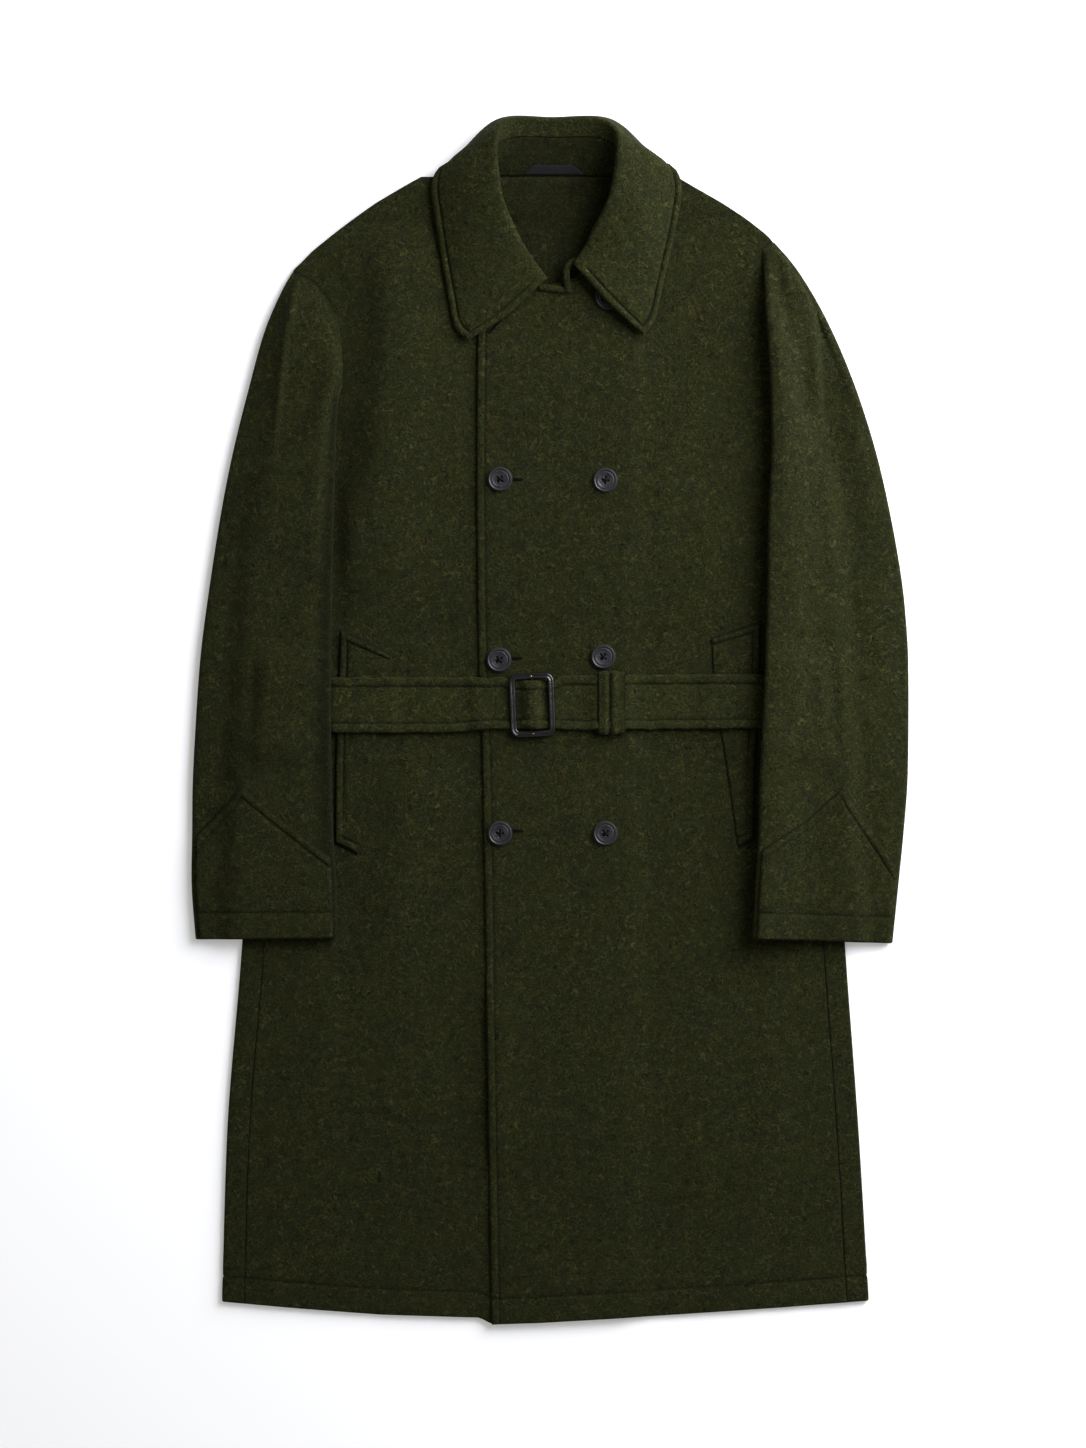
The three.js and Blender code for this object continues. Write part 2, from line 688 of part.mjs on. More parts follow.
// The belt: its edges in plan, and what lifts it from the front.
const BELT_LEFT = 292;
const BELT_RIGHT = 790;
const BELT_STEPS = 60;
const BELT_TOP = [
  [292, 677.5],
  [504, 677.5],
  [512, 680.4],
  [553, 680.4],
  [562, 676],
  [700, 674.5],
  [790, 674.5],
];
const BELT_BOTTOM = [
  [292, 733],
  [440, 733],
  [500, 729.4],
  [553, 729.4],
  [565, 730],
  [790, 728.5],
];
const BUCKLE_BAR = { x: 532, radius: 1.6, from: 675.5, to: 734.5 };
const KEEPER = { from: 598, to: 625, top: 672, bottom: 734, thickness: 1.8, bend: 2.2, corner: [0.6, 0.7] };
const BELT_GAP = 0.6;

function beltLift(x) {
  const welts = LAID_CLOTH + PLY_GAP;
  const overLeftWelt = ease(x, 327, 335) * (1 - ease(x, 392, 402));
  const overRightWelt = ease(x, 698, 708) * (1 - ease(x, 764, 773));
  const overBar = ease(x, BUCKLE_BAR.x - 13, BUCKLE_BAR.x - 4) * (1 - ease(x, BUCKLE_BAR.x + 4, BUCKLE_BAR.x + 13));
  const overKeeper = ease(x, KEEPER.from - 12, KEEPER.from - 3) * (1 - ease(x, KEEPER.to + 3, KEEPER.to + 12));
  return (
    welts * (overLeftWelt + overRightWelt) +
    (2 * BUCKLE_BAR.radius + PLY_GAP) * overBar +
    (KEEPER.thickness + PLY_GAP) * overKeeper
  );
}

// The middle of the belt's wall. It steps up on to the upper front just before that front's edge.
function beltLevel(x) {
  const y = (along(BELT_TOP, x) + along(BELT_BOTTOM, x)) / 2;
  const edge = along(UPPER_EDGE, y);
  const step = (OVERLAP_LEVEL - FRONT_LEVEL) * ease(x, edge - 16, edge - 3);
  const ground = x < edge ? underLevel(x, y) + step : upperLevel(x, y);
  return ground + BODY_CLOTH / 2 + BELT_GAP + BELT_CLOTH / 2 + beltLift(x);
}

function belt() {
  const columns = shares(BELT_STEPS).map((share) => mix(BELT_LEFT, BELT_RIGHT, share));
  const rows = shares(2).map((up) =>
    columns.map((x) => at(x, mix(along(BELT_BOTTOM, x), along(BELT_TOP, x), up), beltLevel(x))),
  );
  return plyAbout(rows, BELT_CLOTH);
}

// A loop of cloth round the belt.
function beltKeeper() {
  const { bend } = KEEPER;
  const [cornerIn, cornerRise] = KEEPER.corner;
  const half = KEEPER.thickness / 2;
  const middle = beltLevel((KEEPER.from + KEEPER.to) / 2);
  const low = middle - BELT_CLOTH / 2 - PLY_GAP + CLEAR_OF_SURFACE - half;
  const high = middle + BELT_CLOTH / 2 + PLY_GAP + half;
  const bottom = KEEPER.bottom - half;
  const top = KEEPER.top + half;
  const section = (x) =>
    [
      [bottom - bend, low],
      [top + bend, low],
      [top + cornerIn, low + cornerRise],
      [top, (low + high) / 2],
      [top + cornerIn, high - cornerRise],
      [top + bend, high],
      [bottom - bend, high],
      [bottom - cornerIn, high - cornerRise],
      [bottom, (low + high) / 2],
      [bottom - cornerIn, low + cornerRise],
    ].map(([y, z]) => at(x, y, z));
  return wallAbout([section(KEEPER.to), section(KEEPER.from)], KEEPER.thickness, true);
}

// The buckle's frame lies on the belt: a rounded oblong with a window.
const BUCKLE = {
  left: 510,
  right: 555,
  top: 673,
  bottom: 737,
  side: 6.5,
  corner: 9,
  windowCorner: 3.5,
  height: 4.4,
  bevel: 1,
  lean: 0.04,
};

function roundedOblong(width, height, radius) {
  const shape = new THREE.Shape();
  const x = width / 2;
  const y = height / 2;
  shape.moveTo(-x + radius, -y);
  shape.lineTo(x - radius, -y);
  shape.absarc(x - radius, -y + radius, radius, -Math.PI / 2, 0);
  shape.lineTo(x, y - radius);
  shape.absarc(x - radius, y - radius, radius, 0, Math.PI / 2);
  shape.lineTo(-x + radius, y);
  shape.absarc(-x + radius, y - radius, radius, Math.PI / 2, Math.PI);
  shape.lineTo(-x, -y + radius);
  shape.absarc(-x + radius, -y + radius, radius, Math.PI, Math.PI * 1.5);
  return shape;
}

function buckleFrame() {
  const width = BUCKLE.right - BUCKLE.left;
  const height = BUCKLE.bottom - BUCKLE.top;
  const { bevel, side, corner, windowCorner } = BUCKLE;
  const inset = 2 * (side - bevel);
  const outline = roundedOblong(width - 2 * bevel, height - 2 * bevel, corner - bevel);
  outline.holes.push(roundedOblong(width - inset, height - inset, windowCorner));
  return new THREE.ExtrudeGeometry(outline, {
    depth: BUCKLE.height - 2 * bevel,
    bevelThickness: bevel,
    bevelSize: bevel,
    bevelSegments: 1,
    curveSegments: 4,
  });
}

function buckleBar() {
  const length = BUCKLE_BAR.to - BUCKLE_BAR.from;
  return new THREE.CylinderGeometry(BUCKLE_BAR.radius, BUCKLE_BAR.radius, length, 12);
}

// Buttons: a dished disc with a raised rim. The neck button is under the collar.
const BUTTON = { radius: 12.2, height: 3.8, rim: 2.2, dish: 1.3, sides: 20 };
const BUTTONS = [
  [500, 480],
  [605, 481],
  [499, 660],
  [603, 657],
  [500, 833],
  [605, 833],
  [607.5, 298.5],
];

function button() {
  const { radius, height, rim, dish } = BUTTON;
  const profile = [
    [0, 0],
    [radius - 1.6, 0],
    [radius, 1.4],
    [radius - 0.6, height],
    [radius - rim, height],
    [radius - rim - 1, height - dish],
    [0, height - dish - 0.3],
  ].map(([r, z]) => new THREE.Vector2(r, z));
  return new THREE.LatheGeometry(profile, BUTTON.sides).rotateX(Math.PI / 2);
}

const group = new THREE.Group();

function add(name, geometry, material) {
  const mesh = new THREE.Mesh(geometry, material);
  mesh.name = name;
  group.add(mesh);
  return mesh;
}

const body = cloth(CLOTH_COLOUR);
const collar = cloth(COLLAR_COLOUR);

const horn = gloss(BUTTON_COLOUR, 0.3, 0);
const enamel = gloss(BUCKLE_COLOUR, 0.25, 0.4);

add("back", back(), body);
add("side_panel_left_of_image", sidePanel(-1), body);
add("side_panel_right_of_image", sidePanel(1), body);
add("front_under", underFront(), body);
add("front_upper", upperFront(), body);
add("collar_stand", collarStand(), collar);
add("collar_fall", collarFall(), collar);
add("neck_tape", neckTape(), gloss(TAPE_COLOUR, 0.7, 0));
for (const [side, shape] of Object.entries(SLEEVES)) {
  add(`sleeve_${side}`, sleeve(shape), body);
  add(`cuff_${side}`, cuff(shape), body);
}
for (const [side, edges] of Object.entries(WELTS)) add(`welt_${side}`, welt(edges), body);
add("belt", belt(), body);
add("belt_keeper", beltKeeper(), body);

const beltTopAt = (x) => beltLevel(x) + BELT_CLOTH / 2;
const frame = add("buckle_frame", buckleFrame(), enamel);
frame.position.copy(
  at((BUCKLE.left + BUCKLE.right) / 2, (BUCKLE.top + BUCKLE.bottom) / 2, beltTopAt(BUCKLE.left) + PLY_GAP + BUCKLE.bevel),
);
frame.rotation.z = BUCKLE.lean;
const bar = add("buckle_bar", buckleBar(), gloss(BRASS_COLOUR, 0.35, 0.9));
bar.position.copy(
  at(BUCKLE_BAR.x, (BUCKLE_BAR.from + BUCKLE_BAR.to) / 2, beltTopAt(BUCKLE.left) - BELT_CLOTH + BUCKLE_BAR.radius),
);
BUTTONS.forEach(([x, y], i) => {
  const placed = add(`button_${i + 1}`, button(), horn);
  placed.position.copy(at(x, y, upperLevel(x, y) + BODY_CLOTH / 2 + PLY_GAP));
});

export default group;
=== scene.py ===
"""A double-breasted wool overcoat laid flat on its back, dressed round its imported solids.

Places in plan are in the photograph's units, x to the right and y down, one unit to a millimetre. Heights are
in millimetres above the surface. place() turns them into metres in the part's own frame.
"""

import math

import bmesh
import bpy
import numpy as np
from mathutils import Matrix, Vector


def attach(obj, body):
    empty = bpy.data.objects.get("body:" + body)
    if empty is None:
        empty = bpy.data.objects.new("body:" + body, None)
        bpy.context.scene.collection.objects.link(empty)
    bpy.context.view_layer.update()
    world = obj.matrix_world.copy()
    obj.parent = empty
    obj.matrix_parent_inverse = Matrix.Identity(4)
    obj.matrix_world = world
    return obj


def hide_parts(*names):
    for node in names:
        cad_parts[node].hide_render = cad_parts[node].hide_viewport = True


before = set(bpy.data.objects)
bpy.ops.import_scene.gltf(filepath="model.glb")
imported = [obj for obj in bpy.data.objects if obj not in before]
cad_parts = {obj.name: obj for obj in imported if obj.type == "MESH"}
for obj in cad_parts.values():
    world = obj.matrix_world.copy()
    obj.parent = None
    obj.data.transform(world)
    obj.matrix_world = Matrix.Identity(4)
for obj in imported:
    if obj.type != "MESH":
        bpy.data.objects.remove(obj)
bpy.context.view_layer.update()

bl_info = {
    "name": "Double-breasted coat",
    "version": (1, 0, 0),
    "blender": (4, 5, 0),
    "location": "3D View > Sidebar > Coat",
    "description": "Builds a belted wool overcoat laid flat, piece by piece, round its solids",
    "category": "Object",
}

MM = 0.001
MIDDLE_X = 550.0
MIDDLE_Y = 721.0

# The plies' heights, as in the solids, each for the middle of its wall.
BODY_CLOTH = 2.6
SLEEVE_CLOTH = 2.8
COLLAR_CLOTH = 2.6
LAID_CLOTH = 2.0
BELT_CLOTH = 3.0
PLY_GAP = 0.4
SEAM_GAP = 0.1
SEAM_LAPS = {-1: 1.4, 1: 27.0}  # how far the body runs on below each sleeve, so that the armhole is closed
BACK_LEVEL = BODY_CLOTH / 2
FRONT_LEVEL = BACK_LEVEL + BODY_CLOTH + PLY_GAP
OVERLAP_LEVEL = FRONT_LEVEL + BODY_CLOTH + PLY_GAP
NECK_LIFT = 3.5
FRONT_TOP = FRONT_LEVEL + BODY_CLOTH / 2

HIDDEN_EDGE = 622.0  # where the under front ends, below the upper one
OVERLAP_END = 652.0  # where the upper front is back at the under one's height
SIDE_WRAP = 22.0  # how far a side panel reaches in over the front
SIDE_TURN = 40.0  # how far it reaches in below it
ARMPIT_Y = 505.0
NECK_Y = 178.0
COLLAR_END_Y = 318.0  # the collar's leaf hides the front's edge above this

# The body's rows: finer between these places down the photograph, and following the hem below the last.
FINE_FROM, FINE_TO, FINE_STEP = 262, 342, 1.6
HEM_ROWS_FROM = 1248
HEM_MEAN_Y = 1310

STITCH_IN = 7.6  # from an edge to its topstitching
HEM_STITCH_IN = 25.6


# Numbers and curves


def ease(value, start, end):
    t = np.clip((np.asarray(value, float) - start) / (end - start), 0, 1)
    return t * t * (3 - 2 * t)


def mix(a, b, share):
    return a + (b - a) * share


def along(table, value):
    """The table's second column at a value of its first, straight between rows."""
    rows = np.asarray(table, float)
    return np.interp(value, rows[:, 0], rows[:, 1])


def flowing(table, value):
    """As along(), but on a smooth curve that doesn't overshoot its rows."""
    rows = np.asarray(table, float)
    place_at, height = rows[:, 0], rows[:, 1]
    gap = np.diff(place_at)
    slope = np.diff(height) / gap
    tangent = np.zeros(len(rows))
    tangent[0], tangent[-1] = slope[0], slope[-1]
    same = slope[:-1] * slope[1:] > 0
    tangent[1:-1][same] = 2 * slope[:-1][same] * slope[1:][same] / (slope[:-1] + slope[1:])[same]
    value = np.clip(value, place_at[0], place_at[-1])
    i = np.clip(np.searchsorted(place_at, value, side="right") - 1, 0, len(gap) - 1)
    t = (value - place_at[i]) / gap[i]
    return (
        height[i] * (1 + 2 * t) * (1 - t) ** 2
        + tangent[i] * gap[i] * t * (1 - t) ** 2
        + height[i + 1] * t * t * (3 - 2 * t)
        + tangent[i + 1] * gap[i] * t * t * (t - 1)
    )


def through(points, turns):
    """Points on a centripetal Catmull-Rom curve through rows of points. Turns count rows, with fractions."""
    rows = np.asarray(points, float)
    rows = np.concatenate([[2 * rows[0] - rows[1]], rows, [2 * rows[-1] - rows[-2]]])
    turns = np.asarray(turns, float)
    i = np.clip(turns.astype(int), 0, len(rows) - 4)
    t = (turns - i)[:, None]
    p0, p1, p2, p3 = rows[i], rows[i + 1], rows[i + 2], rows[i + 3]
    pairs = ((p0, p1), (p1, p2), (p2, p3))
    far = [np.maximum(np.linalg.norm(b - a, axis=1), 1e-6)[:, None] ** 0.5 for a, b in pairs]
    m1 = ((p1 - p0) / far[0] - (p2 - p0) / (far[0] + far[1]) + (p2 - p1) / far[1]) * far[1]
    m2 = ((p2 - p1) / far[1] - (p3 - p1) / (far[1] + far[2]) + (p3 - p2) / far[2]) * far[1]
    return (
        p1 * (1 + 2 * t) * (1 - t) ** 2
        + m1 * t * (1 - t) ** 2
        + p2 * t * t * (3 - 2 * t)
        + m2 * t * t * (t - 1)
    )


def waves(x, y, length, seed):
    """Soft unevenness from about -1 to 1, in waves of about this length."""
    random = np.random.default_rng(seed)
    total = np.zeros(np.broadcast(x, y).shape)
    for _ in range(9):
        turn = random.uniform(0, 2 * math.pi)
        pitch = 2 * math.pi / (length * random.uniform(0.7, 1.6))
        start = random.uniform(0, 2 * math.pi)
        total = total + np.sin(pitch * (x * math.cos(turn) + y * math.sin(turn)) + start)
    return total / 3.2


def offsets(width, left, right, step):
    """Distances across a width: some from its start, some from its end, and even steps between."""
    start, end = left[-1], width - right[-1]
    count = max(2, int(round((end - start) / step)))
    middle = np.linspace(start, end, count + 1)[1:-1]
    return np.concatenate([left, middle, (width - np.asarray(right))[::-1]])


HALF_TURN = np.linspace(-1, 1, 9) * math.pi / 2  # the angles of a fold's points, from below to above

# Distances from an edge at which a grid has its lines: round the edge, and on both sides of its stitching.
ROUND_EDGE = [0.0, 0.25, 0.8, 1.7, 3.0]
STITCHED_EDGE = [0.0, 0.25, 0.8, 1.7, 3.0, 4.8, 6.2, 7.0, STITCH_IN, 8.2, 9.0, 10.6]
HEMMED_EDGE = ROUND_EDGE + [6.0, 10.0, 15.0, 20.0, 23.6, 24.8, HEM_STITCH_IN, 26.4, 27.6, 31.0]


def rounding(inset, radius=1.7):
    """The share of a wall's thickness that is left at a distance in from its edge."""
    near = 1 - np.clip(inset / radius, 0, 1)
    return np.maximum(np.sqrt(np.maximum(1 - near * near, 0)), 0.12)


def stitch_groove(inset, stitch_in=STITCH_IN, depth=1.05, swell=0.75):
    """The height that stitching gives a puffed edge: a groove, with the cloth swelling beside it."""
    band = swell * np.sin(np.pi * np.clip(inset / stitch_in, 0, 1)) ** 0.8
    return band - depth * np.exp(-(((inset - stitch_in) / 1.15) ** 2))


def shade_line(distance, width=1.0):
    """How much shade is painted at a distance from a seam or a row of stitches, from 0 to 1."""
    return np.exp(-((distance / width) ** 2))


def shade_rim(inset):
    """The same painted shade along an edge that is sewn down flat."""
    return 1 - ease(inset, 0.3, 1.6)


# Meshes


def place(x, y, z):
    """Points in metres from their places in plan and their heights."""
    x, y, z = np.broadcast_arrays(x, y, z)
    return np.stack([(x - MIDDLE_X) * MM, (MIDDLE_Y - y) * MM, z * MM], axis=-1)


def make_mesh(name, points, faces, material):
    """A smooth piece of points and faces. None of it goes below the surface that the coat lies on."""
    mesh = bpy.data.meshes.new(name)
    points = points.reshape(-1, 3).copy()
    points[:, 2] = np.maximum(points[:, 2], 0)
    mesh.from_pydata(points.tolist(), [], faces)
    mesh.update()
    mesh.shade_smooth()
    mesh.materials.append(material)
    made = bpy.data.objects.new(name, mesh)
    bpy.context.scene.collection.objects.link(made)
    return made


def grid_faces(rows, columns, first=0, closed=False, turned=False):
    r, c = np.meshgrid(np.arange(rows - 1), np.arange(columns if closed else columns - 1), indexing="ij")
    right = (c + 1) % columns
    here, below = r * columns, (r + 1) * columns
    quads = np.stack([here + c, here + right, below + right, below + c], -1).reshape(-1, 4) + first
    return quads[:, ::-1] if turned else quads


def wall_faces(rows, columns, closed=False):
    """The faces of a closed wall between two grids, the outer one's points first."""
    count = rows * columns
    parts = [grid_faces(rows, columns, 0, closed), grid_faces(rows, columns, count, closed, turned=True)]
    c = np.arange(columns if closed else columns - 1)
    right = (c + 1) % columns
    last = (rows - 1) * columns
    parts.append(np.stack([right, c, c + count, right + count], -1))
    parts.append(np.stack([last + c, last + right, last + right + count, last + c + count], -1))
    if not closed:
        r = np.arange(rows - 1) * columns
        end = r + columns - 1
        parts.append(np.stack([r, r + columns, r + columns + count, r + count], -1))
        parts.append(np.stack([end + columns, end, end + count, end + columns + count], -1))
    return np.concatenate(parts).tolist()


def paint_shade(piece, shares):
    """Keeps how much shade is painted at a mesh's first points, for its material; elsewhere it is 0."""
    layer = piece.data.attributes.new("painted_shade", "FLOAT", "POINT")
    values = np.zeros(len(piece.data.vertices), np.float32)
    values[: shares.size] = np.clip(shares, 0, 1).ravel()
    layer.data.foreach_set("value", values)


def wall(name, outer, inner, material, closed=False, painted_shade=None):
    """A closed wall between two grids of points, turned so that its faces point out."""
    rows, columns = outer.shape[:2]
    made = make_mesh(name, np.concatenate([outer.reshape(-1, 3), inner.reshape(-1, 3)]),
                     wall_faces(rows, columns, closed), material)
    shape = bmesh.new()
    shape.from_mesh(made.data)
    if shape.calc_volume(signed=True) < 0:
        bmesh.ops.reverse_faces(shape, faces=shape.faces)
        shape.to_mesh(made.data)
    shape.free()
    if painted_shade is not None:
        paint_shade(made, np.broadcast_to(painted_shade, outer.shape[:2]))
    return made


def face_out(made):
    """Turns the faces of a closed piece so that they point out."""
    shape = bmesh.new()
    shape.from_mesh(made.data)
    bmesh.ops.recalc_face_normals(shape, faces=shape.faces)
    shape.to_mesh(made.data)
    shape.free()


def grid_normals(points, closed=False):
    """Unit normals of a grid of points; a closed grid's columns meet round a ring."""
    if closed:
        across = np.roll(points, -1, axis=1) - np.roll(points, 1, axis=1)
    else:
        across = np.gradient(points, axis=1)
    normal = np.cross(across, np.gradient(points, axis=0))
    return normal / np.maximum(np.linalg.norm(normal, axis=2, keepdims=True), 1e-12)


def finish_cloth(piece, node_names):
    """Rides a cloth piece and puts it in its solids' place."""
    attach(piece, "root")
    if node_names:
        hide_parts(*node_names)
    return piece


def trim(piece, slot_name, *node_names):
    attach(piece, "root")
    if node_names:
        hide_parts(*node_names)
    return piece


def grid_area(points):
    """The area of a grid of points, in square metres."""
    a = points[1:, :-1] - points[:-1, :-1]
    b = points[:-1, 1:] - points[:-1, :-1]
    return float(np.linalg.norm(np.cross(a, b), axis=2).sum())


def gone_along(points):
    """How far each of a line's points is from its start, along the line."""
    return np.concatenate([[0], np.cumsum(np.linalg.norm(np.diff(points, axis=0), axis=1))])


def outward_normals(points, up_at, closed=False):
    """Unit normals of a grid of points, turned so that they point up at a row and column."""
    normals = grid_normals(points, closed)
    return -normals if normals[up_at][2] < 0 else normals


def thickened(points, normals, half, dent=0.0):
    """A wall's outer and inner side, from its middle, half its thickness and the outer side's own height."""
    return points + normals * ((half + dent) * MM)[..., None], points - normals * (half * MM)[..., None]


def resample(points, step):
    """Points at an even step along a line of points."""
    points = np.asarray(points)
    gone = gone_along(points)
    count = max(2, int(round(gone[-1] / step)) + 1)
    wanted = np.linspace(0, gone[-1], count)
    return np.stack([np.interp(wanted, gone, points[:, k]) for k in range(3)], axis=-1)


def thread_mesh(name, lines, radius, material, sides=5):
    """Tubes along short lines of points, joined in one mesh. A tube narrows to its ends."""
    points, faces = [], []
    for line in lines:
        line = np.asarray(line)
        tangent = np.gradient(line, axis=0)
        tangent /= np.maximum(np.linalg.norm(tangent, axis=1, keepdims=True), 1e-12)
        across = [0.0, 0.0, 1.0] if abs(tangent[0][2]) < 0.9 else [1.0, 0.0, 0.0]
        side = np.cross(tangent, across)
        side /= np.maximum(np.linalg.norm(side, axis=1, keepdims=True), 1e-12)
        up = np.cross(side, tangent)
        first, rings = len(points), len(line)
        narrow = 0.45
        for i in range(rings):
            here = radius * (narrow if i in (0, rings - 1) else 1.0)
            for k in range(sides):
                turn = 2 * math.pi * k / sides
                points.append(line[i] + here * (math.cos(turn) * side[i] + math.sin(turn) * up[i]))
        for i in range(rings - 1):
            for k in range(sides):
                a, b = first + i * sides + k, first + i * sides + (k + 1) % sides
                faces.append((a, b, b + sides, a + sides))
        faces.append(tuple(first + k for k in reversed(range(sides))))
        faces.append(tuple(first + (rings - 1) * sides + k for k in range(sides)))
    return make_mesh(name, np.array(points), faces, material)


def stitches(line):
    """Short bowed stitches along a line of points, just above it."""
    above, length, gap, dip = 0.0001, 0.0042, 0.0016, 0.0003
    each = 6
    found = []
    points = resample(line, (length + gap) / each)
    taken = max(2, int(round(each * length / (length + gap))))
    for start in range(0, len(points) - taken, each):
        part = points[start : start + taken + 1].copy()
        bow = np.sin(np.linspace(0, math.pi, len(part)))
        part[:, 2] += above + dip * (bow - 0.5)
        found.append(part[:: max(1, taken // 2)])
    return found


# The coat's outline in plan, as places down the photograph and across it


SIDE_LEFT = [(505, 268), (948, 242), (1140, 227), (1310, 222)]
SIDE_RIGHT = [(505, 815), (948, 845), (1140, 859), (1310, 869)]
SHOULDER_LEFT = [
    (178, 421), (188, 403), (204, 376), (220, 353), (236, 332), (252, 312), (268, 297), (272, 294),
    (276, 303),
    (282, 313), (292, 322), (303, 329), (322, 337), (365, 342), (386, 341), (420, 333), (455, 318),
    (480, 304),
    (505, 290),
]
SHOULDER_RIGHT = [
    (178, 677), (188, 694), (204, 722), (220, 747), (236, 767.5), (243, 773), (252, 776), (272, 780),
    (290, 782),
    (322, 779), (365, 777), (384, 777), (420, 780), (455, 785), (480, 790), (505, 793),
]
SHOULDERS = {-1: SHOULDER_LEFT, 1: SHOULDER_RIGHT}
HEM = [
    (222, 1301), (300, 1308), (380, 1314), (480, 1317), (492, 1323.6), (540, 1322), (660, 1315), (780, 1307),
    (869, 1300),
]
UPPER_EDGE = [
    (178, 628), (210, 618), (240, 606), (262, 592), (275, 578), (283, 564), (286, 543), (292, 528),
    (300, 508),
    (310, 494), (325, 482), (335, 478), (480, 477), (660, 479), (735, 482), (1180, 489.5), (1330, 492),
]
UNDER_EDGE = [
    (178, 474), (210, 483), (240, 494), (262, 507), (275, 514), (290, 538), (305, 572), (320, 600),
    (335, 618),
    (345, HIDDEN_EDGE), (1330, HIDDEN_EDGE),
]


def side_of(y, way):
    return flowing(SIDE_LEFT if way < 0 else SIDE_RIGHT, y)


def front_outer(y, way):
    """Where a front meets its side panel, and above the armpit the armhole and shoulder."""
    lap = SEAM_LAPS[way] * ease(y, 262, 272 if way < 0 else 330) * (1 - ease(y, 496, 505))
    armhole = along(SHOULDERS[way], y) + way * lap
    return np.where(y <= ARMPIT_Y, armhole, side_of(np.maximum(y, ARMPIT_Y), way) - way * SIDE_WRAP)


def hem_y(x):
    return along(HEM, x)


# The heights of the body's plies


# Soft creases in the fronts: their ends in plan, width and height.
BODY_CREASES = [
    ((352, 392), (392, 470), 16, 1.3),
    ((346, 440), (372, 560), 13, -0.9),
    ((745, 300), (700, 372), 20, 1.2),
    ((752, 420), (722, 520), 16, 1.1),
    ((735, 500), (712, 610), 14, -0.8),
    ((420, 590), (400, 668), 12, 1.0),
    ((452, 610), (446, 672), 9, -0.7),
    ((566, 612), (560, 670), 10, 0.8),
    ((652, 600), (664, 668), 11, 0.9),
    ((690, 620), (694, 672), 8, -0.6),
    ((410, 738), (398, 860), 15, 1.1),
    ((452, 740), (458, 845), 11, -0.8),
    ((566, 740), (572, 860), 14, 0.9),
    ((660, 738), (676, 880), 16, 1.0),
    ((700, 740), (708, 840), 10, -0.7),
    ((330, 960), (316, 1180), 26, 1.0),
    ((585, 930), (600, 1190), 30, 0.9),
    ((745, 980), (772, 1200), 26, 1.0),
    ((520, 352), (570, 400), 18, 0.8),
    ((400, 300), (372, 360), 18, 0.9),
]


CREASE_BOW = 6.0


def creased(x, y, creases):
    """The height that a table of creases adds at places in plan. Each fades out at its ends."""
    total = np.zeros(np.broadcast(x, y).shape)
    for (x0, y0), (x1, y1), width, height in creases:
        length = math.hypot(x1 - x0, y1 - y0)
        share = ((x - x0) * (x1 - x0) + (y - y0) * (y1 - y0)) / length**2
        off = ((x - x0) * (y1 - y0) - (y - y0) * (x1 - x0)) / length
        bend = CREASE_BOW * np.sin(np.pi * np.clip(share, 0, 1))
        fade = ease(share, -0.15, 0.3) * (1 - ease(share, 0.65, 1.15))
        total = total + height * fade * np.exp(-(((off - bend) / width) ** 2))
    return total


CHEST_SWELL = 3.6
SKIRT_SWELL = 2.8


def swell(x, y):
    """The fronts' soft swells across the chest and skirt, which the belt draws in between."""
    chest = CHEST_SWELL * ease(y, 300, 420) * (1 - ease(y, 580, 645))
    skirt = SKIRT_SWELL * ease(y, 742, 815) * (1 - ease(y, 1060, 1250))
    inside = ease(x, 338, 410) * (1 - ease(x, 690, 755))
    return (chest + skirt) * inside


# Long soft folds that run down the cloth: their line, as places down the photograph and across, how far
# they reach to the left and right of it, and their height.
BODY_FOLDS = [
    ([(225, 388), (330, 391), (400, 386), (460, 376), (520, 366), (620, 358)], 26, 50, 11.0),
    ([(180, 408), (240, 410), (300, 404)], 62, 30, 2.4),
    ([(215, 352), (250, 350), (300, 345)], 16, 12, 1.3),
    ([(745, 398), (850, 392), (990, 384)], 24, 40, 2.6),
    ([(960, 470), (1060, 462), (1200, 470)], 40, 22, -1.6),
    ([(340, 612), (430, 640), (560, 655), (640, 662)], 60, 40, 1.5),
    ([(380, 560), (480, 556), (600, 552)], 26, 30, -0.9),
    ([(500, 712), (600, 706), (665, 698)], 18, 26, 1.4),
    ([(745, 590), (860, 600), (1000, 612)], 30, 44, 1.0),
    ([(980, 760), (1100, 772), (1230, 788)], 50, 40, 1.3),
    ([(980, 330), (1100, 318), (1230, 308)], 40, 44, 1.2),
    ([(980, 487), (1060, 488), (1160, 489)], 9, 24, 3.0),
]


def folded(x, y, folds):
    """The height that a table of long folds adds at places in plan."""
    total = np.zeros(np.broadcast(x, y).shape)
    for line, left, right, height in folds:
        first, last = line[0][0], line[-1][0]
        length = last - first
        off = x - flowing(line, y)
        reach = np.where(off < 0, left, right)
        fade_in = ease(y, first - 0.12 * length, first + 0.25 * length)
        fade_out = 1 - ease(y, last - 0.3 * length, last + 0.15 * length)
        total = total + height * (fade_in * fade_out) * np.exp(-((off / reach) ** 2))
    return total


def neck_lift(y):
    return NECK_LIFT * (1 - ease(y, 205, 225))


def unevenness(x, y):
    clear = ease(x, 337, 350) * (1 - ease(x, 712, 758)) + ease(y, 955, 1000) + (1 - ease(y, 250, 300))
    soft = 0.45 * waves(x, y, 80, 11) + 0.2 * waves(x, y, 28, 12)
    forms = creased(x, y, BODY_CREASES) + folded(x, y, BODY_FOLDS)
    return (soft + forms) * np.clip(clear, 0, 1) * ease(y, 205, 240)


def under_level(x, y):
    return FRONT_LEVEL + swell(x, y) + neck_lift(y)


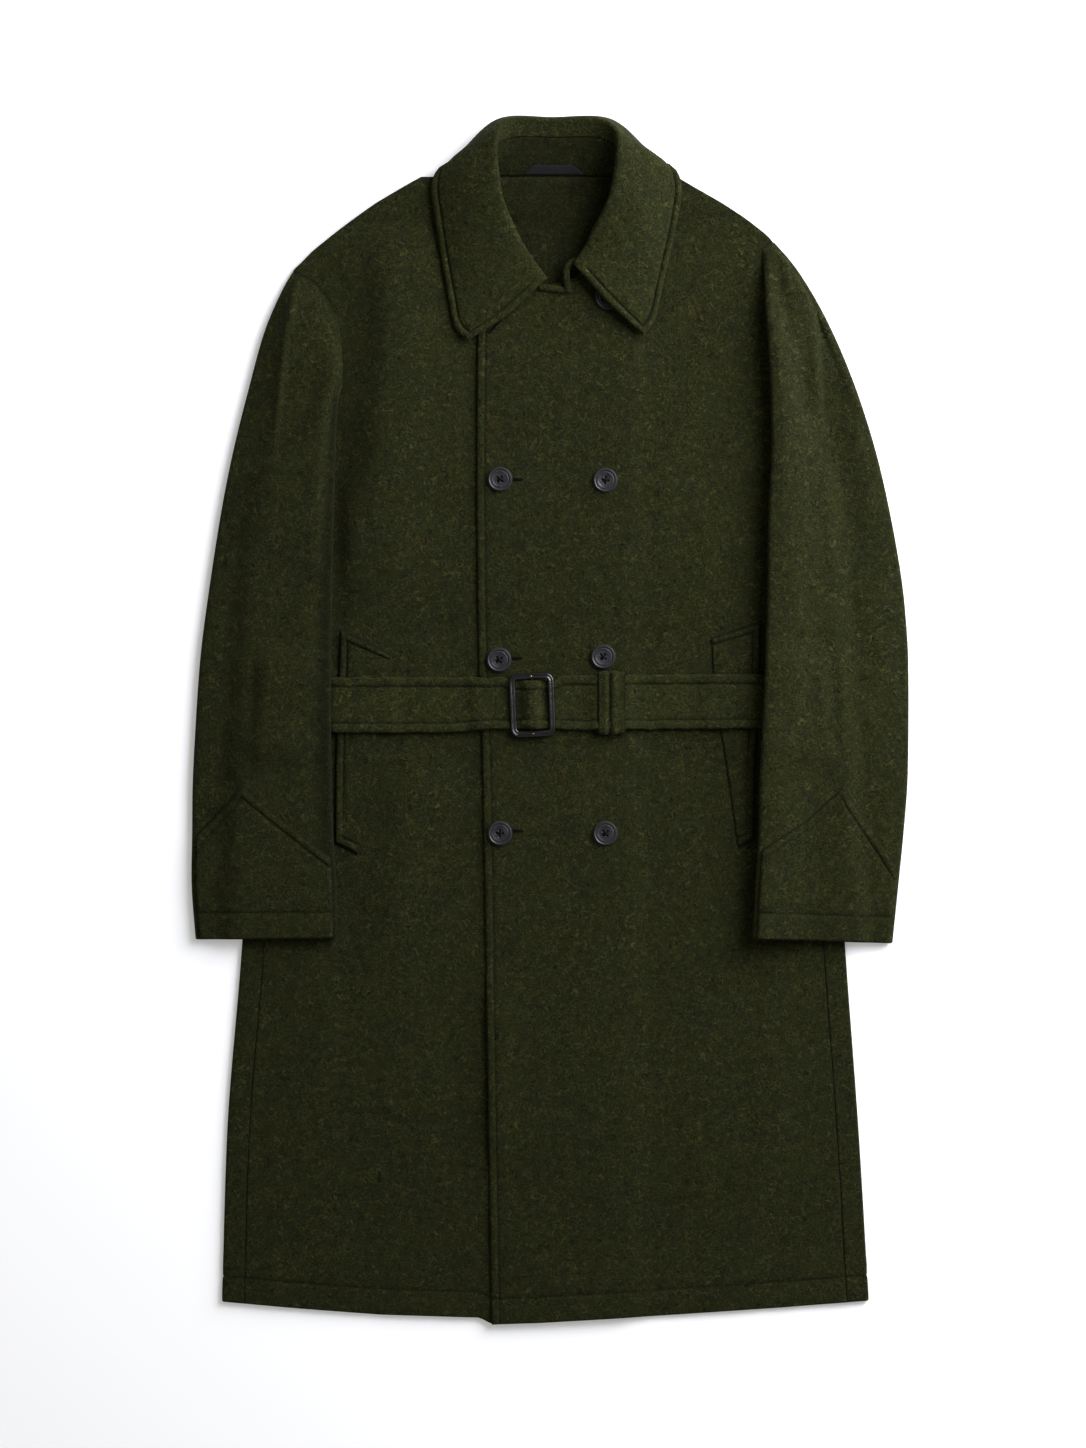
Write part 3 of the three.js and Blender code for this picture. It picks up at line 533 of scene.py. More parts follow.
def upper_level(x, y):
    lap = (1 - ease(x, HIDDEN_EDGE + 3, OVERLAP_END)) * ease(y, 258, 284)
    return under_level(x, y) + (OVERLAP_LEVEL - FRONT_LEVEL) * lap


def front_level(x, y):
    """The middle of the cloth that shows, whichever front it is."""
    return np.where(x < along(UPPER_EDGE, y), under_level(x, y), upper_level(x, y)) + unevenness(x, y)


# The other pieces' shapes, as in the solids


# Stations from the image's left front end round the back. Each has a place for the stand's foot at the
# neckline, the fold's crest, a point halfway down the fall, and the fall's edge.
STATION_PARTS = ("foot", "crest", "fall", "edge")
COLLAR = [
    ((522, 289, 10.6), (547, 280, 15.5), (504, 319, 17.4), (468, 342, 13.5)),
    ((512, 270, 9), (534, 261, 18), (494, 297, 16), (455, 329, 10.6)),
    ((499, 245, 8.4), (519, 240, 23), (485, 272, 19), (449, 301, 10.6)),
    ((488, 222, 10), (508, 217, 29), (474, 240, 23), (442, 262, 10.8)),
    ((480, 200, 11), (500, 190, 34), (466, 207, 27), (436, 222, 11.2)),
    ((478, 186, 11), (497, 162, 36), (462, 177, 27), (432, 186, 12)),
    ((485, 178, 8), (497, 147, 36), (456, 161, 20), (439, 172, 9)),
    ((493, 176.4, 6), (499, 134, 34), (466, 150, 12), (464, 166, 1.7)),
    ((516, 176.4, 4.6), (510, 123.5, 28), (497, 123.5, 7), (512, 186, 1.5)),
    ((553, 176.4, 4.6), (554, 122.5, 24), (554, 121.6, 7), (553, 192, 1.5)),
    ((590, 176.4, 4.6), (599, 123.5, 28), (612, 123.5, 7), (596, 186, 1.5)),
    ((614, 176.4, 6), (614, 134, 34), (645, 151, 12), (648, 166, 1.7)),
    ((619, 177, 8), (617, 147, 36), (657, 161, 20), (674, 172, 9)),
    ((630, 184, 12), (616, 164, 36), (651, 179, 27), (681, 187, 11.4)),
    ((632, 202, 11), (612, 190, 34), (646, 207, 27), (676, 226, 9.2)),
    ((624, 222, 10), (604, 212, 29), (639, 236, 23), (668, 262, 7.6)),
    ((614, 243, 8.4), (594, 231, 23), (631, 262, 19), (661, 293, 9.4)),
    ((602, 262, 9), (585, 247, 18), (621, 284, 17.5), (654, 322, 12.4)),
    ((590, 276, 11.4), (573, 266, 17), (607, 304, 19), (643.5, 337, 15)),
]
STAND_SHARE = 0.68
STAND_SEAM_GAP = 0.6
FOLD_RADIUS = 2.6
TAPE = {"from": 0.456, "to": 0.544, "top_inset": 0.018, "low": 0.03, "high": 0.19, "thickness": 0.8}

# Each sleeve's rows run from its head to its cuff: its outer and inner fold in plan, and how far the head
# follows its seam. "support" is the body's edge below it, and "cuff" the cuff's upper edge, by shares of
# the width.
SLEEVES = {
    "left_of_image": {
        "way": -1,
        "rows": [
            ((294.6, 272.6), (342, 386), 1), ((284, 290), (338, 402), 0.45), ((266, 330), (336, 432), 0.1),
            ((249, 390), (335.5, 470), 0), ((234, 450), (334, 520), 0), ((222, 510), (333, 570), 0),
            ((208, 600), (332, 635), 0), ((201, 655), (332, 668), 0), ((195, 742), (332, 742), 0),
            ((193, 785), (332.5, 780), 0), ((192.5, 833), (334, 835), 0), ((192, 885), (337, 885), 0),
            ((196, 939), (338, 938), 0),
        ],
        "seam": [
            (294.6, 272.6), (303.8, 275), (314, 281), (323.2, 291.2), (330.4, 302.6), (338, 322.4),
            (343, 365),
            (342, 386),
        ],
        "support": [(300, 345), (386, 338), (420, 328), (455, 300), (475, 268), (505, 264), (948, 240)],
        "cuff": [(0, 837), (0.35, 788), (0.86, 843), (1, 858)],
        "fold_rise": 0,
        "head_drop": 0,
        "edge_shares": (0.12, 0.84),
        "crown": 1.0,
        "head_seam": None,
        "folds": [
            ([(262, 302), (300, 294.5), (337, 288), (386, 282), (450, 277), (540, 272)], 17, 110, 6.5),
            ([(262, 302), (300, 294.5), (337, 287.5), (386, 281.5), (440, 276.5)], 3.4, 2.6, 4.2),
            ([(440, 320), (540, 317), (660, 315), (760, 315)], 34, 18, 1.8),
            ([(380, 262), (480, 240), (600, 226)], 14, 16, 1.6),
            ([(640, 262), (730, 268), (820, 262)], 34, 30, 2.4),
        ],
        "creases": [
            ((322, 470), (296, 560), 12, 1.0),
            ((310, 560), (250, 640), 13, -1.0),
            ((206, 700), (262, 760), 10, 1.1),
            ((212, 770), (246, 812), 9, -1.2),
            ((276, 812), (292, 850), 8, -0.9),
            ((290, 730), (304, 840), 14, 0.8),
        ],
    },
    "right_of_image": {
        "way": 1,
        "rows": [
            ((773.5, 242.5), (762, 250), 0), ((790, 262), (763.5, 275), 0), ((806, 285), (764, 305), 0),
            ((820, 308), (765.5, 332), 0), ((838, 345), (768, 366), 0), ((856, 390), (769.5, 402), 0),
            ((875, 450), (770, 456), 0), ((889, 510), (767, 512), 0), ((902, 585), (766, 585), 0),
            ((907, 640), (764.5, 640), 0), ((908, 668), (763.5, 668), 0), ((908, 742), (760, 742), 0),
            ((907, 785), (758, 785), 0), ((903, 835), (757, 835), 0), ((898, 885), (754, 885), 0),
            ((892, 943), (751, 938), 0),
        ],
        "seam": [],
        "support": [(240, 790), (384, 786), (455, 800), (475, 815), (505, 819), (948, 848)],
        "cuff": [(0, 868), (0.435, 789), (0.68, 821), (1, 850)],
        "fold_rise": 13,
        "head_drop": 4.6,
        "edge_shares": (0.1, 0.9),
        "crown": 2.2,
        "head_seam": [(807, 289), (791, 301), (776, 316.5), (769, 332), (765, 350)],
        "folds": [
            ([(288, 812), (337, 819), (368, 822), (410, 826), (450, 832)], 5, 26, -3.6),
            ([(380, 824), (440, 834), (500, 845), (580, 856)], 24, 16, -3.0),
            ([(249, 780), (262, 783.5), (276, 786), (296, 788)], 3.4, 4.2, 1.7),
            ([(282, 804.5), (300, 809.5), (320, 813.5), (345, 815.5), (380, 816), (415, 818)], 12, 3.0, 5.2),
            ([(330, 788), (450, 794), (600, 800), (700, 796)], 20, 34, 2.2),
            ([(560, 880), (660, 876), (760, 868)], 26, 18, 1.8),
            ([(640, 838), (740, 836), (820, 842)], 22, 14, 1.4),
        ],
        "creases": [
            ((850, 410), (872, 520), 13, 1.0),
            ((800, 560), (860, 640), 14, -0.9),
            ((884, 640), (842, 730), 14, 0.9),
            ((790, 700), (812, 780), 10, 0.9),
            ((846, 800), (880, 842), 9, -1.1),
        ],
    },
}
SLEEVE_HOLLOW = 3.4
SLEEVE_HEAD_HOLLOW = 0.5
BELT_CLEARANCE = 4.8

WELTS = {
    "left_of_image": [
        ((341, 631), (390, 655)), ((338, 700), (386, 700)), ((336, 760), (374, 760)), ((335.5, 842),
        (358, 853)),
    ],
    "right_of_image": [
        ((760, 623), (711.5, 639)), ((759, 690), (714.5, 690)), ((755, 760), (726, 760)), ((753.5, 838),
        (738, 846)),
    ],
}

BELT_LEFT, BELT_RIGHT = 292.0, 790.0
BELT_TOP = [(292, 677.5), (504, 677.5), (512, 680.4), (553, 680.4), (562, 676), (700, 674.5), (790, 674.5)]
BELT_BOTTOM = [(292, 733), (440, 733), (500, 729.4), (553, 729.4), (565, 730), (790, 728.5)]
BELT_STITCH_IN = 9.4
BUCKLE_BAR = {"x": 532.0, "radius": 1.6, "from": 675.5, "to": 734.5}
KEEPER = {"from": 598.0, "to": 625.0, "top": 672.0, "bottom": 734.0, "thickness": 1.8, "groove": 609.5}
BUCKLE = {"left": 510.0, "right": 555.0, "top": 673.0, "bottom": 737.0, "corner": 9.0, "lean": 0.04}
BUTTONS = [(500, 480), (605, 481), (499, 660), (603, 657), (500, 833), (605, 833), (607.5, 298.5)]
BUTTON_TURNS = (0.12, 0.62, -0.2, 0.1, 0.7, -0.1, 0.3)  # each button's own, in radians
BUTTONHOLES = [
    ((497, 480.2), (521.5, 480.2)), ((496, 658.4), (520.5, 658.4)), ((497, 830.4), (521.5, 830.4)),
    ((501, 320), (490.5, 333)),
]


def station_points(part, turns):
    return through([row[STATION_PARTS.index(part)] for row in COLLAR], turns)


def sleeve_floor(shape, x, y):
    """The middle of a sleeve's lower ply: on the surface beyond the body's edge, on the front inside it."""
    free = SLEEVE_CLOTH / 2 + 0.2
    laid = FRONT_TOP + PLY_GAP + 0.3 + SLEEVE_CLOTH / 2
    inside = (flowing(shape["support"], y) - x) * shape["way"]
    reached = ease(y, 340, 384) if shape["way"] < 0 else 1
    over_belt = BELT_CLEARANCE * ease(y, 640, 667) * (1 - ease(y, 743, 775)) * ease(inside, 0, 15)
    return mix(free, laid, ease(inside, -28, -4) * reached) + over_belt


def sleeve_plan(shape, rows, share):
    """Places in plan at shares of a sleeve's width, for rows of its folds."""
    x = mix(rows[:, 0:1], rows[:, 2:3], share)
    y = mix(rows[:, 1:2], rows[:, 3:4], share)
    if shape["seam"]:
        on_seam = through(shape["seam"], np.broadcast_to(share, x.shape).ravel() * (len(shape["seam"]) - 1))
        on_seam = on_seam.reshape(*x.shape, 2)
        (x0, y0), (x1, y1), _ = shape["rows"][0]
        bulge = np.clip(rows[:, 4:5], 0, 1)
        x = x + (on_seam[..., 0] - mix(x0, x1, share)) * bulge
        y = y + (on_seam[..., 1] - mix(y0, y1, share)) * bulge
    return x, y


def off_line(x, y, line):
    """The distance in plan from places to a line of points."""
    nearest = np.full(np.broadcast(x, y).shape, 1e9)
    for (x0, y0), (x1, y1) in zip(line, line[1:]):
        length = (x1 - x0) ** 2 + (y1 - y0) ** 2
        share = np.clip(((x - x0) * (x1 - x0) + (y - y0) * (y1 - y0)) / length, 0, 1)
        nearest = np.minimum(nearest, np.hypot(x - x0 - share * (x1 - x0), y - y0 - share * (y1 - y0)))
    return nearest


def seam_dent(distance, depth=0.9, width=1.1, swell=0.45):
    """The height that a seam gives at a distance from it: a groove with the cloth swelling on both sides."""
    return swell * np.exp(-(((distance - 4.5) / 3.2) ** 2)) - depth * np.exp(-((distance / width) ** 2))


def belt_lift(x):
    welts = LAID_CLOTH + PLY_GAP
    over_left_welt = ease(x, 327, 335) * (1 - ease(x, 392, 402))
    over_right_welt = ease(x, 698, 708) * (1 - ease(x, 764, 773))
    bar = BUCKLE_BAR["x"]
    over_bar = ease(x, bar - 13, bar - 4) * (1 - ease(x, bar + 4, bar + 13))
    start, end = KEEPER["from"], KEEPER["to"]
    over_keeper = ease(x, start - 12, start - 3) * (1 - ease(x, end + 3, end + 12))
    return (
        welts * (over_left_welt + over_right_welt)
        + (2 * BUCKLE_BAR["radius"] + PLY_GAP) * over_bar
        + (KEEPER["thickness"] + PLY_GAP) * over_keeper
    )


def belt_level(x):
    """The middle of the belt's wall."""
    x = np.asarray(x, float)
    y = (along(BELT_TOP, x) + along(BELT_BOTTOM, x)) / 2
    edge = along(UPPER_EDGE, y)
    step = (OVERLAP_LEVEL - FRONT_LEVEL) * ease(x, edge - 16, edge - 3)
    ground = np.where(x < edge, under_level(x, y) + step, upper_level(x, y))
    return ground + BODY_CLOTH / 2 + PLY_GAP + 0.2 + BELT_CLOTH / 2 + belt_lift(x)


# Materials


def node_of(tree, kind, at=(0, 0), **values):
    node = tree.nodes.new(kind)
    node.location = at
    for name, value in values.items():
        setattr(node, name, value)
    return node


def new_material(name):
    material = bpy.data.materials.new(name)
    material.use_nodes = True
    tree = material.node_tree
    tree.nodes.clear()
    shader = node_of(tree, "ShaderNodeBsdfPrincipled", (600, 0))
    output = node_of(tree, "ShaderNodeOutputMaterial", (900, 0))
    tree.links.new(shader.outputs["BSDF"], output.inputs["Surface"])
    return material, tree, shader


def object_space(tree):
    return node_of(tree, "ShaderNodeTexCoord", (-900, 0)).outputs["Object"]


def scaled(colour, factor):
    return tuple(part * factor for part in colour)


def noise_node(tree, vector, scale, detail=2.0, roughness=0.5, distortion=0.0, output="Fac"):
    noise = node_of(tree, "ShaderNodeTexNoise")
    noise.inputs["Scale"].default_value = scale
    noise.inputs["Detail"].default_value = detail
    noise.inputs["Roughness"].default_value = roughness
    noise.inputs["Distortion"].default_value = distortion
    tree.links.new(vector, noise.inputs["Vector"])
    return noise.outputs[output]


def ranged(tree, value, low, high, to_low=0.0, to_high=1.0, smooth=True):
    node = node_of(tree, "ShaderNodeMapRange", interpolation_type="SMOOTHSTEP" if smooth else "LINEAR")
    for name, number in (("From Min", low), ("From Max", high), ("To Min", to_low), ("To Max", to_high)):
        node.inputs[name].default_value = number
    tree.links.new(value, node.inputs["Value"])
    return node.outputs["Result"]


def maths(tree, operation, first, second=None):
    node = node_of(tree, "ShaderNodeMath", operation=operation)
    for socket, value in zip(node.inputs, (first, second)):
        if value is None:
            continue
        if isinstance(value, (int, float)):
            socket.default_value = value
        else:
            tree.links.new(value, socket)
    return node.outputs[0]


def where_painted_shade(tree, strength):
    """How much shade is painted, on the cloth or on the buttons, as the mesh says it."""
    layer = node_of(tree, "ShaderNodeAttribute", (-1200, -500), attribute_name="painted_shade")
    return maths(tree, "MULTIPLY", layer.outputs["Fac"], strength)


def blended(tree, share, first, second, kind="MIX"):
    """A colour mixed from two, each a socket or a plain colour."""
    node = node_of(tree, "ShaderNodeMix", data_type="RGBA", blend_type=kind)
    colours = [s for s in node.inputs if s.type == "RGBA"]
    factor = node.inputs[0]
    if isinstance(share, (int, float)):
        factor.default_value = share
    else:
        tree.links.new(share, factor)
    for socket, value in zip(colours, (first, second)):
        if isinstance(value, tuple):
            socket.default_value = (*value, 1.0)
        else:
            tree.links.new(value, socket)
    return next(s for s in node.outputs if s.type == "RGBA")


def shifted(tree, vector, amount):
    node = node_of(tree, "ShaderNodeVectorMath", operation="ADD")
    node.inputs[1].default_value = amount
    tree.links.new(vector, node.inputs[0])
    return node.outputs[0]


def bumped(tree, shader, height, distance, strength):
    bump = node_of(tree, "ShaderNodeBump")
    bump.inputs["Distance"].default_value = distance
    bump.inputs["Strength"].default_value = strength
    tree.links.new(height, bump.inputs["Height"])
    tree.links.new(bump.outputs["Normal"], shader.inputs["Normal"])


def three_fields(tree, vector, shift, scale, detail=1.2, distortion=0.6):
    """Three unlike noises from one texture."""
    noise = noise_node(tree, shifted(tree, vector, shift), scale, detail, 0.6, distortion, "Color")
    parts = node_of(tree, "ShaderNodeSeparateColor")
    tree.links.new(noise, parts.inputs["Color"])
    return list(parts.outputs)[:3]


def fibre_lines(tree, field, cut, width, keep):
    """Short curly fibres: the thin contour lines of one noise, cut short by another."""
    off = maths(tree, "ABSOLUTE", maths(tree, "SUBTRACT", field, 0.5))
    return maths(tree, "MULTIPLY", ranged(tree, off, width, 0.0), ranged(tree, cut, keep, keep + 0.05))


def coat_cloth(name="brushed_melange_wool", shade=0.93):
    """Melange wool: a dark olive ground, blotched, with curly pale, rust, teal and dark fibres over it."""
    found = bpy.data.materials.get(name)
    if found:
        return found
    look = bpy.context.scene.coat_cloth
    material, tree, shader = new_material(name)

    def tint(colour):
        return scaled(colour, shade)

    spread = node_of(tree, "ShaderNodeObjectInfo", (-1400, -300))
    apart = node_of(tree, "ShaderNodeVectorMath", (-1200, 0), operation="ADD")
    tree.links.new(object_space(tree), apart.inputs[0])
    tree.links.new(maths(tree, "MULTIPLY", spread.outputs["Random"], 9.0), apart.inputs[1])
    vector = apart.outputs[0]
    patches = noise_node(tree, shifted(tree, vector, (4.2, 1.1, 0.3)), 22.0, detail=3.0, roughness=0.65)
    blotch = noise_node(tree, vector, 85.0, detail=3.0, roughness=0.65)
    grain = noise_node(tree, shifted(tree, vector, (1.3, 0.2, 2.1)), 640.0, detail=2.0, roughness=0.7)
    ground = blended(tree, ranged(tree, patches, 0.36, 0.66), tint(look.cool_ground), tint(look.ground))
    ground = blended(tree, ranged(tree, blotch, 0.6, 0.36, 0.0, 0.6), ground, tint(look.shade))
    ground = blended(tree, ranged(tree, grain, 0.40, 0.66, 0.0, 0.85), ground, tint(look.lit))
    wide = three_fields(tree, vector, (5.1, 2.3, 0.7), 120.0)
    fine = three_fields(tree, vector, (1.9, 7.7, 3.3), 185.0)
    cuts = three_fields(tree, vector, (8.3, 4.9, 6.1), 140.0, distortion=0.0)
    more_cuts = three_fields(tree, vector, (2.7, 9.1, 1.5), 110.0, distortion=0.0)
    # The noise whose contours they are, the one that cuts them short, their width, its threshold, dye and
    # strength.
    fibres = (
        (wide[0], cuts[0], 0.034, 0.44, look.dark_fibre, 0.8),
        (fine[0], more_cuts[0], 0.038, 0.45, look.teal_fibre, 0.7),
        (wide[1], cuts[1], 0.028, 0.50, look.rust_fibre, 0.6),
        (wide[2], cuts[2], 0.027, 0.44, look.pale_fibre, 0.75),
        (fine[1], more_cuts[1], 0.034, 0.43, look.pale_fibre, 0.62),
        (fine[2], more_cuts[2], 0.034, 0.43, look.moss_fibre, 0.75),
    )
    height = maths(tree, "MULTIPLY", grain, 0.6)
    colour = ground
    for field, cut, width, keep, dye, strength in fibres:
        line = fibre_lines(tree, field, cut, width, keep)
        colour = blended(tree, maths(tree, "MULTIPLY", line, strength), colour, tint(dye))
        height = maths(tree, "MAXIMUM", height, maths(tree, "MULTIPLY", line, 0.5 + 0.7 * strength))
    # Painted shade: the cloth is darkened towards a near-black where the mesh marks seams, grooves, edges and
    # folds.
    colour = blended(tree, where_painted_shade(tree, 0.8), colour, tint(look.painted_shade))
    tree.links.new(colour, shader.inputs["Base Color"])
    shader.inputs["Roughness"].default_value = 0.95
    shader.inputs["Specular IOR Level"].default_value = 0.06
    shader.inputs["Sheen Weight"].default_value = 0.06
    shader.inputs["Sheen Roughness"].default_value = 0.5
    shader.inputs["Sheen Tint"].default_value = (0.42, 0.44, 0.25, 1.0)
    bumped(tree, shader, height, 0.0011, 0.8)
    return material


def lit_cloth():
    """The same wool, a little paler, as painted light where it stands up off the rest."""
    return coat_cloth("painted_light_melange_wool", 1.13)


def inside_shade_cloth():
    """The same wool, darker, as painted shade on the coat's inside."""
    return coat_cloth("painted_shade_inside_wool", bpy.context.scene.coat_cloth.inside_shade)


def shade_inside(piece, share=0.5):
    """Gives the first share of a wall's faces, its outer grid's, the darker wool of painted shade."""
    piece.data.materials.append(inside_shade_cloth())
    for face in piece.data.polygons[: int(len(piece.data.polygons) * share)]:
        face.material_index = 1


def thread_material(name, dark, light, scale, depth):
    """Matt thread with a faint twist."""
    found = bpy.data.materials.get(name)
    if found:
        return found
    material, tree, shader = new_material(name)
    twist = noise_node(tree, object_space(tree), scale, detail=1.0)
    tree.links.new(blended(tree, twist, dark, light), shader.inputs["Base Color"])
    shader.inputs["Roughness"].default_value = 0.9
    shader.inputs["Specular IOR Level"].default_value = 0.1
    bumped(tree, shader, twist, depth, 0.5)
    return material


def sewing_thread():
    """A little darker than the cloth."""
    return thread_material("sewing_thread", (0.007, 0.008, 0.003), (0.017, 0.018, 0.007), 900.0, 0.0002)


def dark_thread():
    return thread_material("button_thread", (0.001, 0.001, 0.001), (0.004, 0.004, 0.004), 1500.0, 0.0001)


def tape_satin():
    """Smooth dark tape with a fine rib across it."""
    look = bpy.context.scene.coat_trim
    material, tree, shader = new_material("dark_satin_tape")
    coordinates = object_space(tree)
    rib = node_of(tree, "ShaderNodeTexWave", (-700, 0), bands_direction="X")
    rib.inputs["Scale"].default_value = 260.0
    rib.inputs["Distortion"].default_value = 0.4
    tree.links.new(coordinates, rib.inputs["Vector"])
    colour = tuple(look.tape)
    cloudy = noise_node(tree, coordinates, 90.0, detail=2.0)
    shade = blended(tree, cloudy, scaled(colour, 0.75), scaled(colour, 1.3))
    tree.links.new(shade, shader.inputs["Base Color"])
    shader.inputs["Roughness"].default_value = 0.6
    shader.inputs["Specular IOR Level"].default_value = 0.15
    bumped(tree, shader, rib.outputs["Fac"], 0.0002, 0.35)
    return material


def button_horn():
    """Polished charcoal, faintly clouded, with fine turning marks."""
    found = bpy.data.materials.get("polished_charcoal_horn")
    if found:
        return found
    look = bpy.context.scene.coat_trim
    material, tree, shader = new_material("polished_charcoal_horn")
    coordinates = object_space(tree)
    cloud = noise_node(tree, coordinates, 160.0, detail=4.0, roughness=0.6, distortion=1.2)
    colour = tuple(look.horn)
    shade = blended(tree, ranged(tree, cloud, 0.35, 0.7), scaled(colour, 0.6), scaled(colour, 1.7))
    # Painted shade: near-black in the groove, round the outer edge and in the holes, where the mesh marks
    # them; the polish also roughens there.
    shade = blended(tree, where_painted_shade(tree, 0.95), shade, scaled(colour, 0.08))
    tree.links.new(shade, shader.inputs["Base Color"])
    fine = noise_node(tree, coordinates, 700.0, detail=2.0)
    polish = ranged(tree, fine, 0.2, 0.8, 0.2, 0.32, smooth=False)
    tree.links.new(maths(tree, "ADD", polish, where_painted_shade(tree, 0.6)), shader.inputs["Roughness"])
    shader.inputs["Specular IOR Level"].default_value = 0.5
    shader.inputs["Coat Weight"].default_value = 0.15
    shader.inputs["Coat Roughness"].default_value = 0.15
    bumped(tree, shader, fine, 0.00005, 0.25)
    return material


def buckle_enamel():
    """Gloss black, a little uneven."""
    look = bpy.context.scene.coat_trim
    material, tree, shader = new_material("gloss_black_buckle")
    coordinates = object_space(tree)
    cloud = noise_node(tree, coordinates, 120.0, detail=3.0)
    colour = tuple(look.enamel)
    shade = blended(tree, cloud, scaled(colour, 0.6), scaled(colour, 1.8))
    tree.links.new(shade, shader.inputs["Base Color"])
    tree.links.new(ranged(tree, cloud, 0.3, 0.7, 0.14, 0.3), shader.inputs["Roughness"])
    shader.inputs["Specular IOR Level"].default_value = 0.5
    shader.inputs["Coat Weight"].default_value = 0.3
    shader.inputs["Coat Roughness"].default_value = 0.08
    bumped(tree, shader, cloud, 0.0001, 0.15)
    return material


def pin_brass():
    """Dull brass with a little tarnish."""
    look = bpy.context.scene.coat_trim
    material, tree, shader = new_material("dull_brass")
    coordinates = object_space(tree)
    cloud = noise_node(tree, coordinates, 500.0, detail=3.0)
    colour = tuple(look.brass)
    shade = blended(tree, cloud, scaled(colour, 0.5), colour)
    tree.links.new(shade, shader.inputs["Base Color"])
    shader.inputs["Metallic"].default_value = 1.0
    tree.links.new(ranged(tree, cloud, 0.3, 0.7, 0.3, 0.5), shader.inputs["Roughness"])
    return material


# Operators and their settings


def colour_setting(name, description, default):
    return bpy.props.FloatVectorProperty(name=name, description=description, default=default, subtype="COLOR")


class CoatClothSettings(bpy.types.PropertyGroup):
    """The wool's grid and its colours"""

    step: bpy.props.FloatProperty(
        name="Grid step", description="Distance between the lines of a cloth's grid",
        default=0.005, unit="LENGTH"
    )
    # How dark the shade painted on the coat's inside is.
    inside_shade: bpy.props.FloatProperty(
        name="Facing", description="How dark the coat's inside is beside its outside",
        default=0.66, min=0.0, max=1.0
    )
    shade: colour_setting("Shade", "Darkest part of the ground", (0.0052, 0.0065, 0.0015))
    ground: colour_setting("Ground", "Main colour of the ground", (0.0128, 0.0142, 0.0034))
    cool_ground: colour_setting("Cool ground", "Colour of its greyer patches", (0.0090, 0.0120, 0.0042))
    lit: colour_setting("Lit nap", "Colour of the raised nap", (0.0208, 0.0220, 0.0055))
    dark_fibre: colour_setting("Dark fibre", "Colour of the dark fibres", (0.0034, 0.0040, 0.0017))
    teal_fibre: colour_setting("Teal fibre", "Colour of the grey-green fibres", (0.0085, 0.0145, 0.0078))
    rust_fibre: colour_setting("Rust fibre", "Colour of the rust fibres", (0.034, 0.0200, 0.0055))
    pale_fibre: colour_setting("Pale fibre", "Colour of the pale fibres", (0.052, 0.0500, 0.0145))
    # The near-black that seams, grooves, edges and folds are painted with as shade.
    painted_shade: colour_setting("Painted shade", "Colour in seams and under stitches", (0.0020, 0.0024, 0.0010))
    moss_fibre: colour_setting("Moss fibre", "Colour of the moss-green fibres", (0.0238, 0.0310, 0.0084))


class CoatTrimSettings(bpy.types.PropertyGroup):
    """The buttons, buckle, tape and thread"""

    horn: colour_setting("Button", "Colour of the buttons", (0.0165, 0.0170, 0.0195))
    enamel: colour_setting("Buckle", "Colour of the buckle's frame", (0.0022, 0.0022, 0.0025))
    brass: colour_setting("Brass", "Colour of the buckle's bar and pins", (0.32, 0.24, 0.11))
    tape: colour_setting("Tape", "Colour of the hanger tape", (0.0085, 0.0086, 0.0098))
    hole_radius: bpy.props.FloatProperty(
        name="Hole", description="Radius of a button's holes", default=0.00125, unit="LENGTH"
    )
    hole_spacing: bpy.props.FloatProperty(
        name="Hole spacing", description="Distance between a button's holes", default=0.0042, unit="LENGTH"
    )
    thread_radius: bpy.props.FloatProperty(
        name="Thread", description="Radius of the topstitching thread", default=0.00032, unit="LENGTH"
    )


class CoatStudioSettings(bpy.types.PropertyGroup):
    """The camera, the lights and the surface"""

    camera_height: bpy.props.FloatProperty(
        name="Camera height", description="How far above the surface the camera is",
        default=4.0, unit="LENGTH"
    )
    key_power: bpy.props.FloatProperty(
        name="Key light", description="Power of the soft light at the upper right",
        default=106.0, unit="POWER"
    )
    fill_power: bpy.props.FloatProperty(
        name="Fill light", description="Power of the soft light at the left", default=4.0, unit="POWER"
    )
    surround: bpy.props.FloatProperty(
        name="Surround", description="Strength of the even light from all round, near the horizon",
        default=0.54
    )
    overhead: bpy.props.FloatProperty(
        name="Overhead", description="Strength of the even light from straight above", default=0.12
    )
    floor_glow: bpy.props.FloatProperty(
        name="Floor glow", description="Light of its own that keeps the surface evenly pale", default=0.22
    )
    floor: colour_setting("Floor", "Colour of the surface", (0.93, 0.93, 0.93))


def cloth_step():
    return bpy.context.scene.coat_cloth.step / MM


def panel_grid(left_of, right_of, left_edge, right_edge, hem_edge, hem_of, step):
    """A body panel's places in plan between two outlines, from neck to hem, and its edges' distances."""
    bands = (
        np.arange(NECK_Y, FINE_FROM, step),
        np.arange(FINE_FROM, FINE_TO, FINE_STEP),
        np.arange(FINE_TO, HEM_ROWS_FROM, step),
    )
    above = np.unique(np.concatenate(bands))
    last = above[-1]
    columns = int(round(max(right_of(above) - left_of(above)) / step))
    insets = np.asarray(hem_edge)[::-1]
    xs, ys = [], []

    def add_row(y, row_y):
        left, width = float(left_of(y)), float(right_of(y) - left_of(y))
        middle = np.linspace(left_edge[-1], width - right_edge[-1], columns)[1:-1]
        x = left + np.concatenate([left_edge, middle, (width - np.asarray(right_edge))[::-1]])
        xs.append(x)
        ys.append(row_y(x))

    for y in above:
        add_row(y, lambda x: np.full_like(x, y))
    for share in np.linspace(0, 1, 6)[1:-1]:
        add_row(mix(last, HEM_MEAN_Y - 25, share), lambda x: mix(last, hem_of(x) - insets[0], share))
    for inset in insets:
        add_row(HEM_MEAN_Y - inset, lambda x: hem_of(x) - inset)
    x, y = np.array(xs), np.array(ys)
    return x, y, x - left_of(y), right_of(y) - x, hem_of(x) - y


